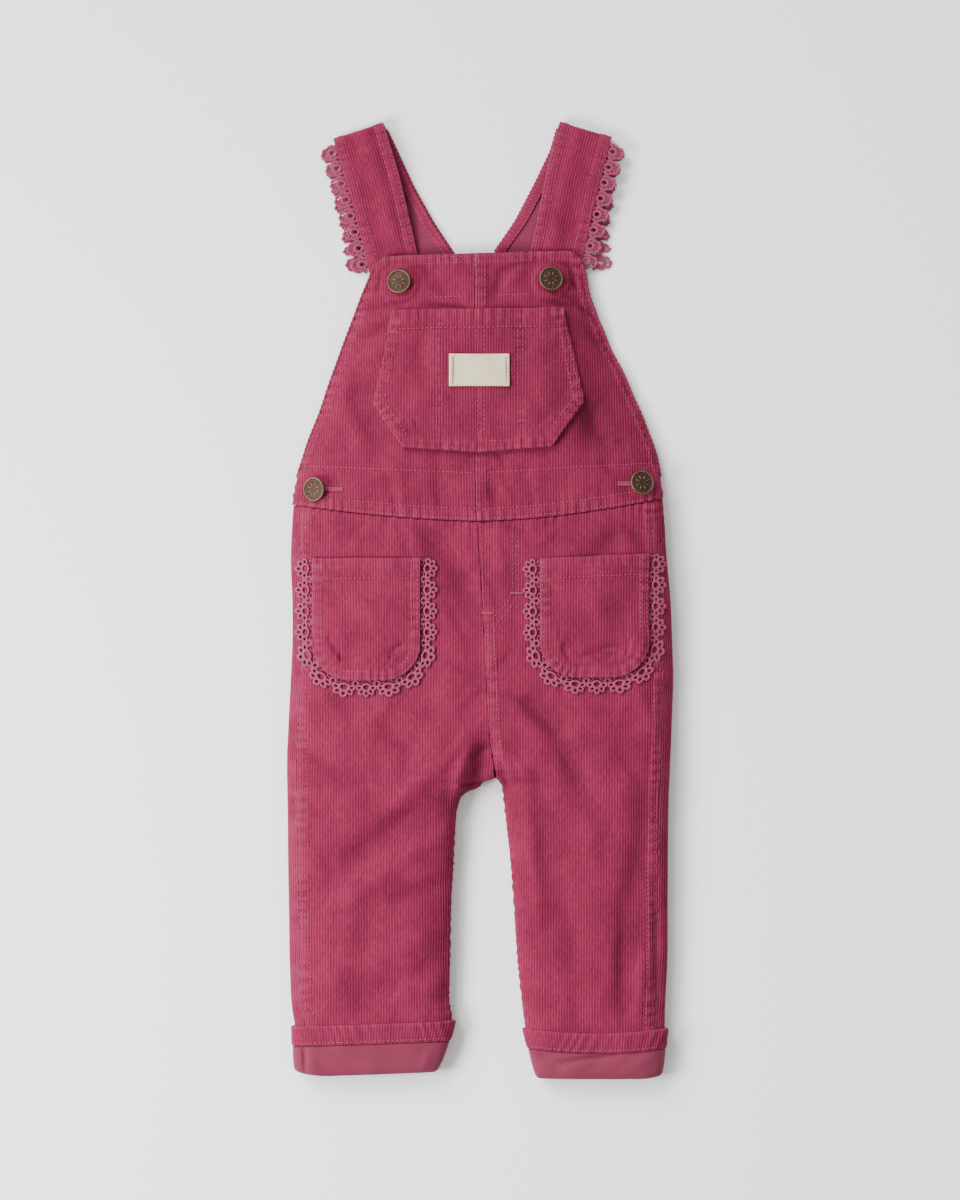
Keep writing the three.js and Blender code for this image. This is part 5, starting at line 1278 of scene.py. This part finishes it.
# The raised design: distance from the middle, turn, height, length and width of the boss, the beads and the rays.
RAISED = [(1.1, 0, 2.45, 0.55, 0.55)] + [(6.2, k * math.pi / 9, 1.95, 0.5, 0.5) for k in range(18)]
RAISED += [(3.6, (k + 0.5) * math.pi / 4, 2.25, 1.9, 0.62) for k in range(8)]
for button_name, (cx, cy, tilt) in BUTTONS.items():
    bpy.ops.mesh.primitive_circle_add(vertices=40, radius=SHANK_RADIUS, fill_type="NGON")
    button = bpy.context.object
    bpy.ops.object.mode_set(mode="EDIT")
    bpy.ops.mesh.select_all(action="SELECT")
    radius = SHANK_RADIUS
    for next_radius, rise in CAP_SECTION:
        bpy.ops.mesh.extrude_region_move(TRANSFORM_OT_translate={"value": (0, 0, rise)})
        bpy.ops.transform.resize(value=(next_radius / radius, next_radius / radius, 1))
        radius = next_radius
    bpy.ops.mesh.select_all(action="SELECT")
    bpy.ops.mesh.normals_make_consistent(inside=False)
    bpy.ops.object.mode_set(mode="OBJECT")
    bpy.ops.object.shade_smooth_by_angle(angle=math.radians(50))
    for skin in (aged_brass, rubbed_brass):
        button.data.materials.append(skin)
    for face in button.data.polygons:
        face.material_index = 1 if math.hypot(*face.center[:2]) > 7.35 and face.center[2] > 1.6 else 0
    parts = [button]
    for reach, turn, height, long, wide in RAISED:
        bpy.ops.object.select_all(action="DESELECT")
        bpy.ops.mesh.primitive_ico_sphere_add(subdivisions=1 if long < 1 else 2, radius=1)
        bead = bpy.context.object
        reshape((long, wide, 0.62), -turn, "Z", (reach * math.cos(turn), reach * math.sin(turn), height))
        bpy.ops.object.shade_smooth()
        bead.data.materials.append(rubbed_brass)
        parts.append(bead)
    bpy.ops.object.select_all(action="DESELECT")
    for part in parts:
        part.select_set(True)
    bpy.context.view_layer.objects.active = button
    bpy.ops.object.join()
    seat, over = on_front(cx, cy, 1.0, 1.0), on_front(cx, cy, 2.0, 1.0)
    up = (over - seat) / np.linalg.norm(over - seat)
    up = up + np.array([math.copysign(tilt, cx), -tilt * 0.5, 0])
    up /= np.linalg.norm(up)
    x_way = np.cross([0, 1, 0], up)
    x_way /= np.linalg.norm(x_way)
    y_way = np.cross(up, x_way)
    local = np.array([tuple(v.co) for v in button.data.vertices]) * BUTTON_SIZE
    placed = (seat + local[:, :1] * x_way + local[:, 1:2] * y_way + local[:, 2:3] * up) / 1000
    button.data.vertices.foreach_set("co", placed.astype(np.float32).ravel())
    button.name = button.data.name = f"brass_button_{button_name}"
    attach(button, "root")
    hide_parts(f"button_{button_name}")

# Buttonholes at the sides: two close rows of satin stitch, the part that shows beside each button.
BUTTONHOLES, SATIN_PITCH, HALF_SLIT = ((-105.6, -92.4, 74.6), (93.4, 102.6, 78.4)), 0.62, 0.7
hole_frames = []
for x_start, x_end, hole_y in BUTTONHOLES:
    for offset in (-HALF_SLIT, HALF_SLIT):
        x = np.arange(x_start, x_end, SATIN_PITCH)
        y = np.full(len(x), hole_y + offset)
        seat, over = on_front(x, y, 0.35), on_front(x, y, 1.35)
        up = over - seat
        along = np.tile([0.12, 1.0, 0.0], (len(x), 1))
        along -= up * (along * up).sum(1)[:, None]
        hole_frames.append((seat, along, np.cross(up, along), up, np.full(len(x), 0.85)))
stitches_mesh("buttonholes", hole_frames)

# The pale table, soft light from the upper left, and the camera straight above.
bpy.ops.mesh.primitive_plane_add(size=8, location=(0, 0, -0.0004))
table_top = bpy.context.object
table_top.name = "table_top"
painted, tree, shader = start_material("matt_white_board")
set_inputs(shader, {"Base Color": linear("#fbfbfb"), "Roughness": 0.9})
table_top.data.materials.append(painted)


def place_in_scene(name, data, place, turned=(0, 0, 0)):
    """Puts a light or the camera in the scene, turned about X, Y and Z in degrees."""
    thing = bpy.data.objects.new(name, data)
    thing.location, thing.rotation_euler = place, [math.radians(turn) for turn in turned]
    bpy.context.collection.objects.link(thing)
    return thing


day = bpy.data.lights.new("window", "SUN")
day.energy, day.angle = 4.2, 0.6
place_in_scene("window", day, (0, 0, 0), (-38, -42, 0))
near = bpy.data.lights.new("softbox", "AREA")
near.shape, near.size, near.energy = "DISK", 0.6, 27
place_in_scene("softbox", near, (-1.0, -0.3, 0.8), (12, -51, 0))
world = bpy.data.worlds.new("room")
world.use_nodes = True
set_inputs(world.node_tree.nodes["Background"], {"Color": (1, 1, 1, 1), "Strength": 0.75})
bpy.context.scene.world = world
CAMERA_HEIGHT, MM_PER_PIXEL, PHOTO_HEIGHT, SENSOR = 3.0, 0.68, 1200, 36
camera_data = bpy.data.cameras.new("camera")
camera_data.sensor_width = SENSOR
camera_data.lens = SENSOR * CAMERA_HEIGHT / (PHOTO_HEIGHT * MM_PER_PIXEL / 1000)
bpy.context.scene.camera = place_in_scene("camera", camera_data, (0, -0.0003, CAMERA_HEIGHT))
